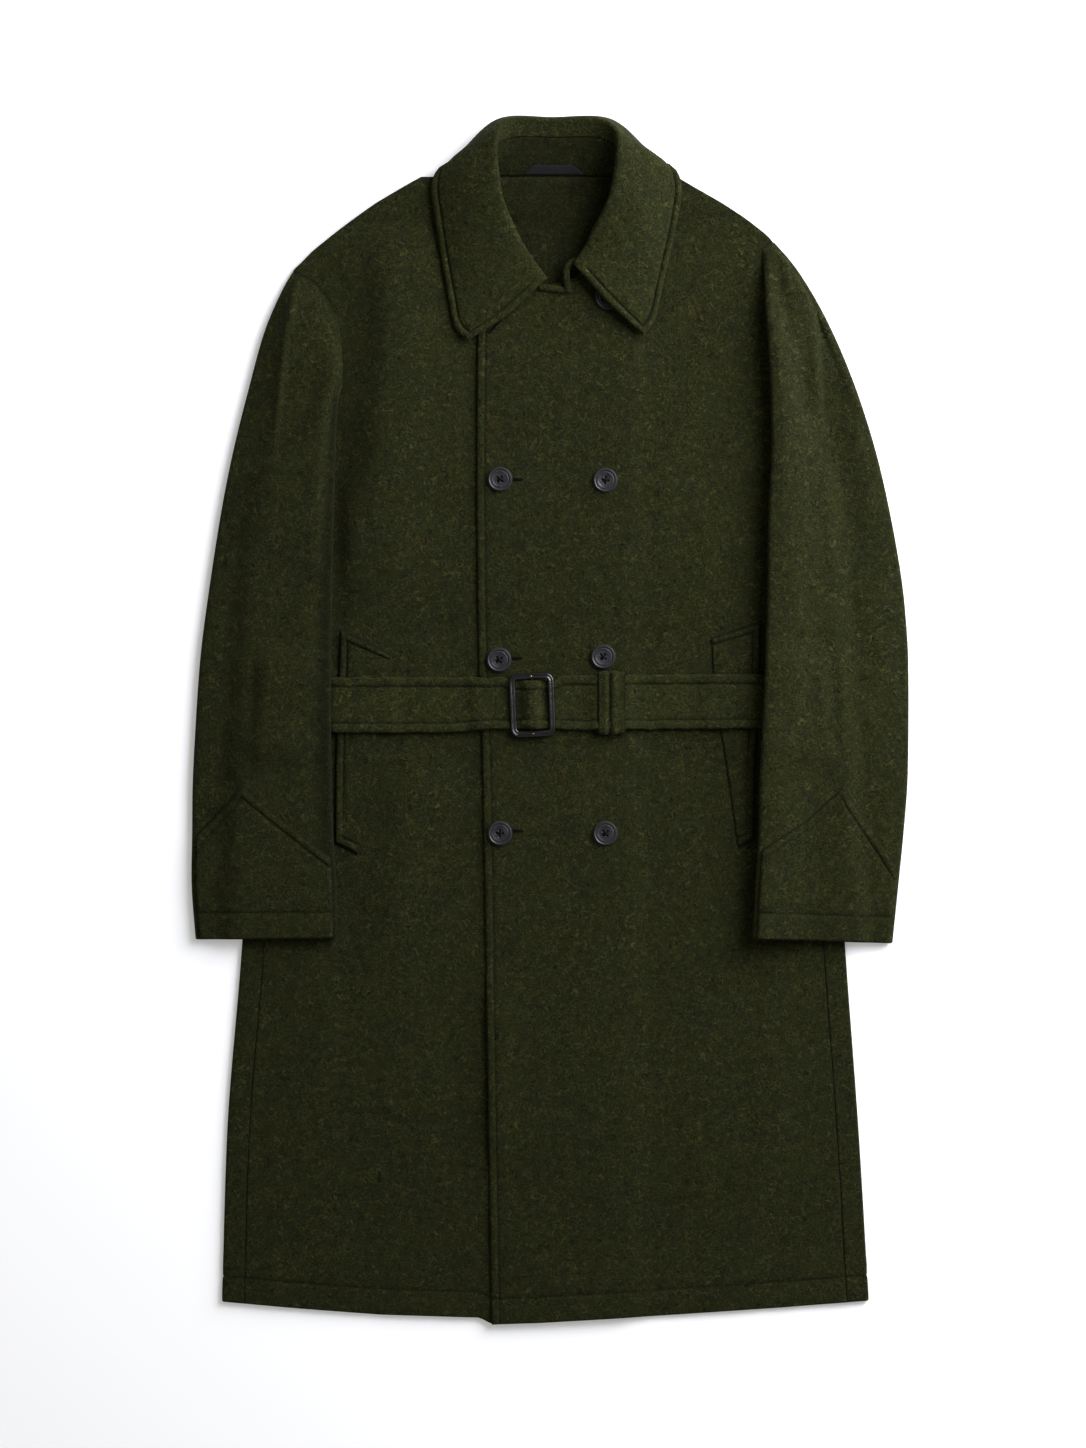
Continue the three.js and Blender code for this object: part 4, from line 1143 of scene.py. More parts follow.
class COAT_OT_stage(bpy.types.Operator):
    """Make the surface that the coat lies on, the studio's lights and the camera above it"""

    bl_idname = "coat.stage"
    bl_label = "Stage"

    def execute(self, context):
        studio = context.scene.coat_studio
        floor_material, tree, shader = new_material("pale_floor")
        faint = noise_node(tree, object_space(tree), 3.0, detail=2.0)
        pale = tuple(studio.floor)
        tree.links.new(blended(tree, faint, pale, scaled(pale, 0.985)), shader.inputs["Base Color"])
        shader.inputs["Roughness"].default_value = 0.9
        shader.inputs["Emission Color"].default_value = (1.0, 1.0, 1.0, 1.0)
        shader.inputs["Emission Strength"].default_value = studio.floor_glow
        reach = 12.0
        corners = np.array([[-reach, -reach, 0], [reach, -reach, 0], [reach, reach, 0], [-reach, reach, 0]])
        floor = make_mesh("floor", corners, [(0, 1, 2, 3)], floor_material)
        photo_width, photo_height = 1086, 1448
        camera = bpy.data.cameras.new("camera")
        camera.sensor_width = 36.0
        camera.lens = camera.sensor_width * studio.camera_height / (photo_height * MM)
        camera.clip_start, camera.clip_end = 0.05, 50
        eye = bpy.data.objects.new("camera", camera)
        eye.location = (*place(photo_width / 2, photo_height / 2, 0)[:2], studio.camera_height)
        context.scene.collection.objects.link(eye)
        context.scene.camera = eye
        self.light(context, "key_light", (1.45, 1.1, 1.1), 1.8, studio.key_power, (0.985, 0.99, 1.07))
        self.light(context, "fill_light", (-1.8, -0.4, 2.2), 2.0, studio.fill_power, (1, 1, 0.95))
        world = bpy.data.worlds.new("studio")
        world.use_nodes = True
        sky = world.node_tree
        back = sky.nodes["Background"]
        back.inputs["Color"].default_value = (1.0, 1.0, 0.95, 1)
        direction = node_of(sky, "ShaderNodeTexCoord", (-800, 0))
        parts = node_of(sky, "ShaderNodeSeparateXYZ", (-600, 0))
        sky.links.new(direction.outputs["Generated"], parts.inputs["Vector"])
        surround, overhead = studio.surround, studio.overhead
        strength = ranged(sky, parts.outputs["Z"], 0.0, 1.0, surround, overhead, smooth=False)
        sky.links.new(strength, back.inputs["Strength"])
        context.scene.world = world
        context.scene.view_settings.view_transform = "Standard"
        return {"FINISHED"}

    def light(self, context, name, at, size, power, colour):
        lamp = bpy.data.lights.new(name, "AREA")
        lamp.color = colour
        lamp.size = size
        lamp.energy = power
        made = bpy.data.objects.new(name, lamp)
        made.location = at
        made.rotation_euler = (-Vector(at)).to_track_quat("-Z", "Y").to_euler()
        context.scene.collection.objects.link(made)


# Flat sizes of the sheets, in metres. They are measured on the photograph, where a unit is a millimetre. A
# single length is the one side of a cut whose other side follows from its area.
BACK_FLAT = (0.575, 1.14)


class COAT_OT_fronts(bpy.types.Operator):
    """Make the two fronts, with their topstitched edge and hem"""

    bl_idname = "coat.fronts"
    bl_label = "Fronts"

    def execute(self, context):
        self.stitches = []
        self.front(
            "right_front",
            "front_under",
            lambda y: front_outer(y, -1) + SEAM_GAP,
            lambda y: flowing(UNDER_EDGE, y),
            ROUND_EDGE,
            lambda x, y: under_level(x, y) + unevenness(x, y) * (1 - ease(x, 455, 480)),
            ["coat_back"],
        )
        self.front(
            "left_front",
            "front_upper",
            lambda y: flowing(UPPER_EDGE, y),
            lambda y: front_outer(y, 1) - SEAM_GAP,
            STITCHED_EDGE,
            lambda x, y: upper_level(x, y) + unevenness(x, y),
            ["right_front", "coat_back"],
        )
        sew("front_topstitching", self.stitches, context)
        return {"FINISHED"}

    def front(self, name, node, left_of, right_of, left_edge, level, rests_on):
        grid = panel_grid(left_of, right_of, left_edge, ROUND_EDGE, HEMMED_EDGE, hem_y, cloth_step())
        x, y, left_in, right_in, hem_in = grid
        z = level(x, y)
        half = BODY_CLOTH / 2 * rounding(hem_in) * rounding(left_in) * rounding(right_in)
        top = z + half + stitch_groove(hem_in, HEM_STITCH_IN, depth=0.7, swell=0.25)
        if left_edge is STITCHED_EDGE:
            top = top + stitch_groove(left_in, depth=0.75, swell=0.55)
            column = STITCHED_EDGE.index(STITCH_IN)
            shown = y[:, column] > COLLAR_END_Y
            self.stitches += stitches(place(x[shown, column], y[shown, column], top[shown, column]))
        row = x.shape[0] - 1 - HEMMED_EDGE.index(HEM_STITCH_IN)
        self.stitches += stitches(place(x[row, 5:-3], y[row, 5:-3], top[row, 5:-3]))
        outer = place(x, y, top)
        # Painted shade along the hem's stitching and the outer seam; on the under front also along the
        # armhole seam, on the upper front along its topstitching.
        painted_shade = 0.45 * shade_line(hem_in - HEM_STITCH_IN) + 0.5 * shade_rim(right_in)
        if left_edge is ROUND_EDGE:
            armhole_seam = ease(y, 268, 273) * (1 - ease(y, 302, 318))
            painted_shade = painted_shade + shade_line(left_in * 0.7 - 1.5, 1.7) * armhole_seam
        if left_edge is STITCHED_EDGE:
            painted_shade = painted_shade + 0.3 * shade_line(left_in - STITCH_IN)
        made = wall(name, outer, place(x, y, z - half), coat_cloth(), painted_shade=painted_shade)
        finish_cloth(made, [node])


class COAT_OT_back(bpy.types.Operator):
    """Make the back, with its centre seam and hem, and the side panels that wrap round the coat's edges"""

    bl_idname = "coat.back"
    bl_label = "Back and sides"

    def execute(self, context):
        self.stitches = []
        self.back()
        self.side_panel(-1)
        self.side_panel(1)
        sew("side_hem_stitching", self.stitches, context)
        return {"FINISHED"}

    def back(self):
        def outer(y, way):
            below = side_of(np.maximum(y, ARMPIT_Y), way) - way * (SIDE_TURN + SEAM_GAP)
            return np.where(y < ARMPIT_Y, front_outer(y, way), below)

        def hem(x):
            return np.minimum(hem_y(x), along(HEM, 480)) - 3.0

        grid = panel_grid(
            lambda y: outer(y, -1),
            lambda y: outer(y, 1),
            ROUND_EDGE,
            ROUND_EDGE,
            ROUND_EDGE,
            hem,
            cloth_step() * 1.6,
        )
        x, y, left_in, right_in, hem_in = grid
        z = BACK_LEVEL + neck_lift(y)
        half = BODY_CLOTH / 2 * rounding(hem_in) * rounding(left_in) * rounding(right_in)
        centre = np.exp(-(((x - MIDDLE_X) / 2.6) ** 2))
        low = z - half + 0.7 * centre
        made = wall("coat_back", place(x, y, z + half), place(x, y, low), coat_cloth())
        # The back's outer grid, the coat's inside, gets the darker wool of painted shade.
        shade_inside(made, (x.shape[0] - 1) * (x.shape[1] - 1) / len(made.data.polygons))
        area = min(grid_area(place(x, y, z)), BACK_FLAT[0] * BACK_FLAT[1])
        finish_cloth(made, ["back"])

    def side_panel(self, way):
        bend = (FRONT_LEVEL - BACK_LEVEL) / 2
        middle = (FRONT_LEVEL + BACK_LEVEL) / 2
        round_from, hem_from = 6, 1250.0
        below = np.linspace(SIDE_TURN, round_from, 8)
        edge = SIDE_WRAP - np.array(ROUND_EDGE[::-1])
        above = np.concatenate([np.linspace(round_from, edge[0], 4)[:-1], edge])
        insets = np.array(HEMMED_EDGE[::-1])
        shares = np.linspace(0, 1, 5)[:-1]
        top = ARMPIT_Y + np.array(ROUND_EDGE)
        ys = np.concatenate([top, np.arange(ARMPIT_Y + round_from, hem_from, cloth_step())])
        side = side_of(np.concatenate([ys, mix(hem_from, 1275, shares), 1300 - insets]), way)[:, None]
        centre = side - way * (BODY_CLOTH / 2 + bend)
        turned = centre + way * bend * np.cos(HALF_TURN)
        x = np.concatenate([side - way * below, turned, side - way * above], 1)
        low, high = np.full(len(below), BACK_LEVEL), np.full(len(above), FRONT_LEVEL)
        levels = (low, middle + bend * np.sin(HALF_TURN), high)
        hem = hem_y(x[len(ys) :])
        blend = mix(hem_from, hem[: len(shares)] - insets[0], shares[:, None])
        level_rows = np.repeat(ys[:, None], x.shape[1], 1)
        y = np.concatenate([level_rows, blend, hem[len(shares) :] - insets[:, None]])
        points = place(x, y, np.concatenate(levels))
        normals = outward_normals(points, (0, -1))
        hem_in = hem_y(x) - y
        far_in = np.full(len(below) + len(HALF_TURN), 99.0)
        seam_in = np.concatenate([far_in, SIDE_WRAP - above])[None, :]
        half = BODY_CLOTH / 2 * rounding(hem_in) * rounding(seam_in) * rounding(y - ARMPIT_Y)
        dent = stitch_groove(hem_in, HEM_STITCH_IN, depth=0.7, swell=0.25)
        outer, inner = thickened(points, normals, half, dent)
        row = x.shape[0] - 1 - HEMMED_EDGE.index(HEM_STITCH_IN)
        self.stitches += stitches(outer[row, len(below) + 6 : -2])
        # Painted shade along the hem's stitching and the seam over the front.
        painted_shade = 0.45 * shade_line(hem_in - HEM_STITCH_IN) + 0.5 * shade_rim(seam_in)
        name, node = ("right", "left_of_image") if way < 0 else ("left", "right_of_image")
        made = wall(name + "_side_panel", outer, inner, coat_cloth(), painted_shade=painted_shade)
        finish_cloth(made, ["side_panel_" + node])


def sew(name, lines, context):
    """Joins stitches in one piece that rides with the coat."""
    if lines:
        thread = thread_mesh(name, lines, context.scene.coat_trim.thread_radius, sewing_thread())
        trim(thread, "coat_cloth")


class COAT_OT_collar(bpy.types.Operator):
    """Make the collar's stand and its topstitched fall, and the blank hanger tape"""

    bl_idname = "coat.collar"
    bl_label = "Collar"

    def execute(self, context):
        dense = np.linspace(0, len(COLLAR) - 1, 900)
        gone = gone_along(station_points("fall", dense) * [1, 1, 0.4])
        passed = offsets(gone[-1], STITCHED_EDGE, STITCHED_EDGE, cloth_step())
        self.turns = np.interp(passed, gone, dense)
        self.end_in = np.minimum(passed, gone[-1] - passed)[:, None]
        self.stand()
        self.fall(context)
        self.tape(context)
        rising = [
            (578, 262, 12.5), (570, 265, 13.6), (566.4, 271.5, 13.6), (566.4, 280, 12.6), (567.4, 287, 11.6),
            (568, 294, 10.6),
        ]
        self.strip("collar_band_end", rising, 7.0, 1.3)
        lying = [(538.5, 287.6, 9.7), (546, 288.8, 10.0), (556, 290.2, 10.1), (565, 291.6, 9.9)]
        self.strip("front_neck_edge", lying, 7.0, 1.0)
        return {"FINISHED"}

    def stand(self):
        foot, crest = station_points("foot", self.turns), station_points("crest", self.turns)
        end = STAND_SHARE - STAND_SEAM_GAP / np.linalg.norm(crest - foot, axis=1)
        shares = np.array([0, 0.02, 0.06, 0.14, 0.24, 0.36, 0.5, 0.64, 0.78, 0.88, 0.95, 0.98, 1.0])
        grid = foot[:, None] + (crest - foot)[:, None] * (shares[None, :] * end[:, None])[..., None]
        height = np.linalg.norm(grid - grid[:, :1], axis=2)
        points = place(grid[..., 0], grid[..., 1], grid[..., 2])
        normals = grid_normals(points)
        tall = height[:, -1:]
        half = COLLAR_CLOTH / 2 * rounding(height, 0.6) * rounding(tall - height, 0.6) * rounding(self.end_in)
        # The stand gets the darker wool of painted shade.
        made = wall("collar_band", *thickened(points, normals, half), inside_shade_cloth())
        finish_cloth(made, ["collar_stand"])

    def fall(self, context):
        foot, crest = station_points("foot", self.turns), station_points("crest", self.turns)
        fall, edge = station_points("fall", self.turns), station_points("edge", self.turns)
        rise = mix(foot, crest, STAND_SHARE)
        inward = (crest - foot) * [1, 1, 0]
        inward /= np.linalg.norm(inward, axis=1, keepdims=True)
        up = np.array([0, 0, 1.0])
        under = mix(foot, crest, 0.9)
        over = mix(crest, fall, 0.14) + up * FOLD_RADIUS
        top = crest + inward * 0.4 + up * FOLD_RADIUS * 0.6
        grid, edge_in, rise_in = [], [], []
        for profile in zip(rise, under, top, over, fall, edge):
            dense = through(profile, np.linspace(0, 5, 160))
            dense[:, 2] = np.maximum(dense[:, 2], COLLAR_CLOTH / 2 + 0.1)
            gone = gone_along(dense)
            width = gone[-1]
            start, end = ROUND_EDGE[-1], width - STITCHED_EDGE[-1]
            middle = np.linspace(start, end, 26)[1:-1]
            wanted = np.concatenate([ROUND_EDGE, middle, (width - np.array(STITCHED_EDGE))[::-1]])
            grid.append(np.stack([np.interp(wanted, gone, dense[:, k]) for k in range(3)], -1))
            edge_in.append(width - wanted)
            rise_in.append(wanted)
        grid, edge_in, rise_in = np.array(grid), np.array(edge_in), np.array(rise_in)
        soft = 0.3 * waves(grid[..., 0], grid[..., 1], 55, 31) * ease(rise_in, 12, 30)
        points = place(grid[..., 0], grid[..., 1], grid[..., 2] + soft)
        normals = outward_normals(points, (10, -12))
        half = COLLAR_CLOTH / 2 * rounding(edge_in, 1.9) * rounding(rise_in, 0.6) * rounding(self.end_in, 1.9)
        nearest = np.minimum(edge_in, self.end_in)
        dent = stitch_groove(nearest, depth=1.6, swell=1.3) * ease(rise_in, 18, 30)
        outer, inner = thickened(points, normals, half, dent)
        # Painted shade along the fall's topstitching.
        painted_shade = 0.5 * shade_line(nearest - STITCH_IN, 0.8) * ease(rise_in, 18, 30)
        # The leaf gets the paler wool of painted light.
        made = wall("collar_leaf", outer, inner, lit_cloth(), painted_shade=painted_shade)
        finish_cloth(made, ["collar_fall"])
        row = STITCHED_EDGE.index(STITCH_IN)
        lines = stitches(outer[row:-row, -1 - row])
        for end_row in (row, -1 - row):
            shown = rise_in[end_row] > 24
            lines += stitches(outer[end_row][shown & (edge_in[end_row] > STITCH_IN)])
        sew("collar_topstitching", lines, context)

    def strip(self, name, path, width, crown):
        """A narrow rolled edge along a path, peeping out between the collar's leaves."""
        step = 0.8
        path = resample(through(path, np.linspace(0, len(path) - 1, 80)), step)
        ahead = np.gradient(path, axis=0)
        ahead /= np.linalg.norm(ahead[:, :2], axis=1, keepdims=True)
        across = offsets(width, ROUND_EDGE[:4], ROUND_EDGE[:4], 0.9)
        aside = across - width / 2
        x = path[:, 0:1] - ahead[:, 1:2] * aside
        y = path[:, 1:2] + ahead[:, 0:1] * aside
        side_in = np.minimum(across, width - across)
        gone = np.arange(len(path)) * step
        end_in = np.minimum(gone, gone[-1] - gone)[:, None]
        z = path[:, 2:3] + crown * (1 - (2 * aside / width) ** 2)
        half = 1.1 * rounding(side_in) * rounding(end_in)
        outer = place(x, y, z + half)
        made = wall(name, outer, place(x, y, z - half), coat_cloth())
        finish_cloth(made, [])

    def tape(self, context):
        clear = COLLAR_CLOTH / 2 + 0.1 + TAPE["thickness"] / 2
        out = np.array([0, 0.33, 0.94]) * clear
        rows = []
        for up in np.linspace(0, 1, 9):
            inset = TAPE["top_inset"] * up
            places = np.linspace(TAPE["from"] + inset, TAPE["to"] - inset, 41) * (len(COLLAR) - 1)
            foot, crest = station_points("foot", places), station_points("crest", places)
            rows.append(mix(foot, crest, mix(TAPE["low"], TAPE["high"], up)) + out)
        grid = np.array(rows)
        points = place(grid[..., 0], grid[..., 1], grid[..., 2])
        normals = grid_normals(points)
        half = (TAPE["thickness"] / 2 * MM) * normals
        made = wall("hanger_tape", points + half, points - half, tape_satin())
        trim(made, "tape", "neck_tape")


# Rows beyond the cuff's upper edge and the welt's ends, for the lip where they leave the cloth below, painted
# dark as shade.
CUFF_LIP = [-1.7, -0.2]
WELT_LIP = [1.9, 0.2]


class COAT_OT_sleeves(bpy.types.Operator):
    """Make the sleeves as flattened tubes, with their pointed, stitched-down cuffs"""

    bl_idname = "coat.sleeves"
    bl_label = "Sleeves and cuffs"

    def execute(self, context):
        self.stitches = []
        for side, shape in SLEEVES.items():
            upper = self.sleeve(side, shape)
            self.cuff(side, shape, upper)
        sew("cuff_topstitching", self.stitches, context)
        return {"FINISHED"}

    def sleeve(self, side, shape):
        table = [(*outer, *inner, bulge) for outer, inner, bulge in shape["rows"]]
        dense = np.linspace(0, len(table) - 1, 600)
        folds = through(table, dense)
        gone = gone_along((folds[:, 0:2] + folds[:, 2:4]) / 2)
        passed = offsets(gone[-1], ROUND_EDGE, ROUND_EDGE, cloth_step())
        turns = np.interp(passed, gone, dense)
        rows = through(table, turns)
        bend = (mix(SLEEVE_HEAD_HOLLOW, SLEEVE_HOLLOW, np.minimum(1, turns / 2)) + SLEEVE_CLOTH)[:, None] / 2
        width = np.hypot(rows[:, 2] - rows[:, 0], rows[:, 3] - rows[:, 1])[:, None]
        inset = (bend + SLEEVE_CLOTH / 2) / width
        columns = 45
        across = np.linspace(0, 1, columns)[None, :]
        x, y = sleeve_plan(shape, rows, mix(inset, 1 - inset, across))
        rise = shape["fold_rise"] * ease(turns, 0, 3.6)[:, None]
        laid = sleeve_floor(shape, x, y) - shape["head_drop"] * (1 - ease(turns, 0, 1.6))[:, None]
        low = laid + rise * ease(across, 0.8, 1)
        soft = 0.5 * waves(x, y, 75, 41 + shape["way"]) + 0.2 * waves(x, y, 26, 43 + shape["way"])
        soft = soft + creased(x, y, shape["creases"]) + folded(x, y, shape["folds"])
        settled = ease(passed, 0, 14) * (1 - ease(passed, gone[-1] - 40, gone[-1]))
        crown = shape["crown"] * np.sin(np.pi * across) ** 0.7
        outer_share, inner_share = shape["edge_shares"]
        edges = ease(across, 0, outer_share) * (1 - ease(across, inner_share, 1))
        high = laid + rise * ease(across, 0.55, 1) + 2 * bend + (crown + soft * edges) * settled[:, None]
        if shape["head_seam"]:
            high = high + seam_dent(off_line(x, y, shape["head_seam"]), depth=1.3, width=1.3, swell=0.7)
        lower = np.stack([x, y, low], -1)
        upper = np.stack([x, y, np.maximum(high, low + 2 * bend - 2.4)], -1)

        def fold(start, end, share):
            centre = (start + end) / 2
            fx, fy = sleeve_plan(shape, rows, np.full((1, 1), share))
            out = np.stack([fx[:, 0] - centre[:, 0], fy[:, 0] - centre[:, 1], 0 * fx[:, 0]], -1)
            out *= bend / np.maximum(np.linalg.norm(out, axis=1, keepdims=True), 1e-9)
            angles = HALF_TURN[1:-1, None]
            return centre[:, None] + out[:, None] * np.cos(angles) + (end - centre)[:, None] * np.sin(angles)

        inner_fold = fold(lower[:, -1], upper[:, -1], 1.0)
        outer_fold = fold(upper[:, 0], lower[:, 0], 0.0)
        ring = np.concatenate([lower, inner_fold, upper[:, ::-1], outer_fold], 1)
        points = place(ring[..., 0], ring[..., 1], ring[..., 2])
        bends = inner_fold.shape[1]
        normals = outward_normals(points, (20, columns + bends + columns // 2), closed=True)
        half = SLEEVE_CLOTH / 2 * rounding(passed) * rounding(gone[-1] - passed)
        # Painted shade: along the head's seam where the sleeve has one; otherwise along the head's edge and,
        # darkest, down the inner fold.
        if shape["head_seam"]:
            painted_shade = 0.6 * shade_line(off_line(ring[..., 0], ring[..., 1], shape["head_seam"]))
        else:
            round_shares = np.concatenate([across[0], np.ones(bends), across[0, ::-1], np.zeros(bends)])
            painted_shade = shade_rim(passed * 0.7)[:, None] * (1 - ease(round_shares, 0.5, 0.8))
            painted_shade = painted_shade + 0.7 * ease(round_shares, 0.86, 1) * ease(turns, 0.5, 1.5)[:, None]
        # The sleeve on the image's right gets a paler copy of the wool, as painted light.
        cloth = coat_cloth() if shape["way"] < 0 else coat_cloth("painted_light_sleeve_wool", 1.0)
        outer, inner = thickened(points, normals, half[:, None])
        made = wall(self.worn_side(shape) + "_sleeve", outer, inner, cloth, closed=True, painted_shade=painted_shade)
        finish_cloth(made, ["sleeve_" + side])
        return upper

    def worn_side(self, shape):
        """The wearer's side, which is the other one of the image."""
        return "right" if shape["way"] < 0 else "left"

    def cuff(self, side, shape, upper):
        end = shape["rows"][-1]
        shares = np.linspace(0, 1, upper.shape[1])
        point_y = along(shape["cuff"], shares)
        end_y = mix(end[0][1], end[1][1], shares) - 1
        width = abs(end[1][0] - end[0][0])
        slope = np.gradient(point_y, shares) / width
        stretch = np.minimum(np.sqrt(1 + slope**2), 1.9)
        columns = []
        for j in range(len(shares)):
            top = point_y[j] + np.array(CUFF_LIP + STITCHED_EDGE) * stretch[j]
            hem = end_y[j] - np.array(HEMMED_EDGE)[::-1]
            y = np.concatenate([top, np.linspace(top[-1], hem[0], 14)[1:-1], hem])
            x = np.interp(y, upper[:, j, 1], upper[:, j, 0])
            z = np.interp(y, upper[:, j, 1], upper[:, j, 2])
            columns.append(np.stack([x, y, z], -1))
        grid = np.stack(columns, 1)
        x, y, z = grid[..., 0], grid[..., 1], grid[..., 2]
        point_in = (y - point_y) / stretch
        hem_in = end_y - y
        z = z + SLEEVE_CLOTH / 2 + 0.15 + LAID_CLOTH / 2 * (point_in > -0.1)
        half = LAID_CLOTH / 2 * rounding(point_in) * rounding(hem_in)
        dent = stitch_groove(point_in, depth=0.9, swell=0.7) + stitch_groove(hem_in, HEM_STITCH_IN, 0.9, 0.25)
        outer = place(x, y, z + half + dent)
        for row in (len(CUFF_LIP) + STITCHED_EDGE.index(STITCH_IN), -1 - HEMMED_EDGE.index(HEM_STITCH_IN)):
            self.stitches += stitches(outer[row, 1:-1])
        # Painted shade along the cuff's upper edge and lip, its topstitching and the hem's stitching.
        painted_shade = 0.7 * shade_rim(point_in * 1.3) + 0.4 * shade_line(point_in - STITCH_IN)
        painted_shade = painted_shade + 0.7 * shade_line(hem_in - HEM_STITCH_IN)
        worn = self.worn_side(shape)
        made = wall(worn + "_cuff", outer, place(x, y, z - half), coat_cloth(), painted_shade=painted_shade)
        finish_cloth(made, ["cuff_" + side])


class COAT_OT_welts(bpy.types.Operator):
    """Make the slanted pocket welts, with their double edges"""

    bl_idname = "coat.welts"
    bl_label = "Pocket welts"

    def execute(self, context):
        lines = []
        for side, rows in WELTS.items():
            lines += self.welt(side, rows)
        sew("welt_topstitching", lines, context)
        return {"FINISHED"}

    def welt(self, side, rows):
        table = np.array([(*outer, *inner) for outer, inner in rows], float)
        dense = np.linspace(0, len(table) - 1, 300)
        fine = np.stack([np.interp(dense, np.arange(len(table)), table[:, k]) for k in range(4)], -1)
        gone = np.concatenate([[0], np.cumsum(np.hypot(*np.diff(fine[:, :2], axis=0).T))])
        passed = offsets(gone[-1], STITCHED_EDGE, STITCHED_EDGE, cloth_step())
        fine = np.stack([np.interp(passed, gone, fine[:, k]) for k in range(4)], -1)
        width = np.hypot(fine[:, 2] - fine[:, 0], fine[:, 3] - fine[:, 1])
        across = []
        for wide in width:
            start = min(STITCHED_EDGE[-1], wide * 0.3)
            insets = np.array(STITCHED_EDGE) * start / STITCHED_EDGE[-1]
            middle = np.linspace(start, wide - 3, 8)[1:-1]
            across.append(np.concatenate([insets, middle, wide - np.array(ROUND_EDGE[::-1])]) / wide)
        share = np.array(across)
        x = mix(fine[:, 0:1], fine[:, 2:3], share)
        y = mix(fine[:, 1:2], fine[:, 3:4], share)
        outer_in = share * width[:, None]
        inner_in = (1 - share) * width[:, None]
        top_in = passed[:, None] + 0 * x
        end_in = gone[-1] - top_in
        x, y = self.lips(x), self.lips(y)
        distances = (outer_in, inner_in, top_in, end_in)
        outer_in, inner_in, top_in, end_in = (np.pad(a, ((2, 2), (0, 0)), mode="edge") for a in distances)
        z = front_level(x, y) + BODY_CLOTH / 2 + 0.2 + LAID_CLOTH / 2
        half = LAID_CLOTH / 2 * rounding(outer_in) * rounding(inner_in, 4.0)
        half = half * rounding(top_in) * rounding(end_in)
        lip = np.zeros((len(x), 1), bool)
        lip[[0, 1, -2, -1]] = True
        z = np.where(lip, z - LAID_CLOTH / 2 + 0.2, z)
        sewn_in = np.minimum(np.minimum(outer_in, top_in), end_in)
        outer = place(x, y, z + half + stitch_groove(sewn_in, depth=1.1, swell=0.9))
        # Painted shade round the welt's edges and lips, along its topstitching, and a little along its inner
        # edge.
        shown = 1 - 0.6 * ease(y, 735, 750) * (outer_in < end_in)
        painted_shade = shade_rim(sewn_in * 0.8) + shade_line(sewn_in - STITCH_IN, 1.2) * shown
        painted_shade = painted_shade + 0.35 * shade_rim(inner_in)
        made = wall("pocket_welt_" + side, outer, place(x, y, z - half), coat_cloth(), painted_shade=painted_shade)
        finish_cloth(made, ["welt_" + side])
        column = STITCHED_EDGE.index(STITCH_IN)
        row = column + len(WELT_LIP)
        sewn = (outer[row:-row, column], outer[row, column:-1], outer[-1 - row, column:-1])
        return [stitch for line in sewn for stitch in stitches(line)]

    def lips(self, rows):
        """The same rows with the lip's beyond each end."""
        beyond = np.array(WELT_LIP)[:, None]
        before = rows[0] + (rows[0] - rows[4]) / STITCHED_EDGE[4] * beyond
        after = rows[-1] + (rows[-1] - rows[-5]) / STITCHED_EDGE[4] * beyond[::-1]
        return np.concatenate([before, rows, after])


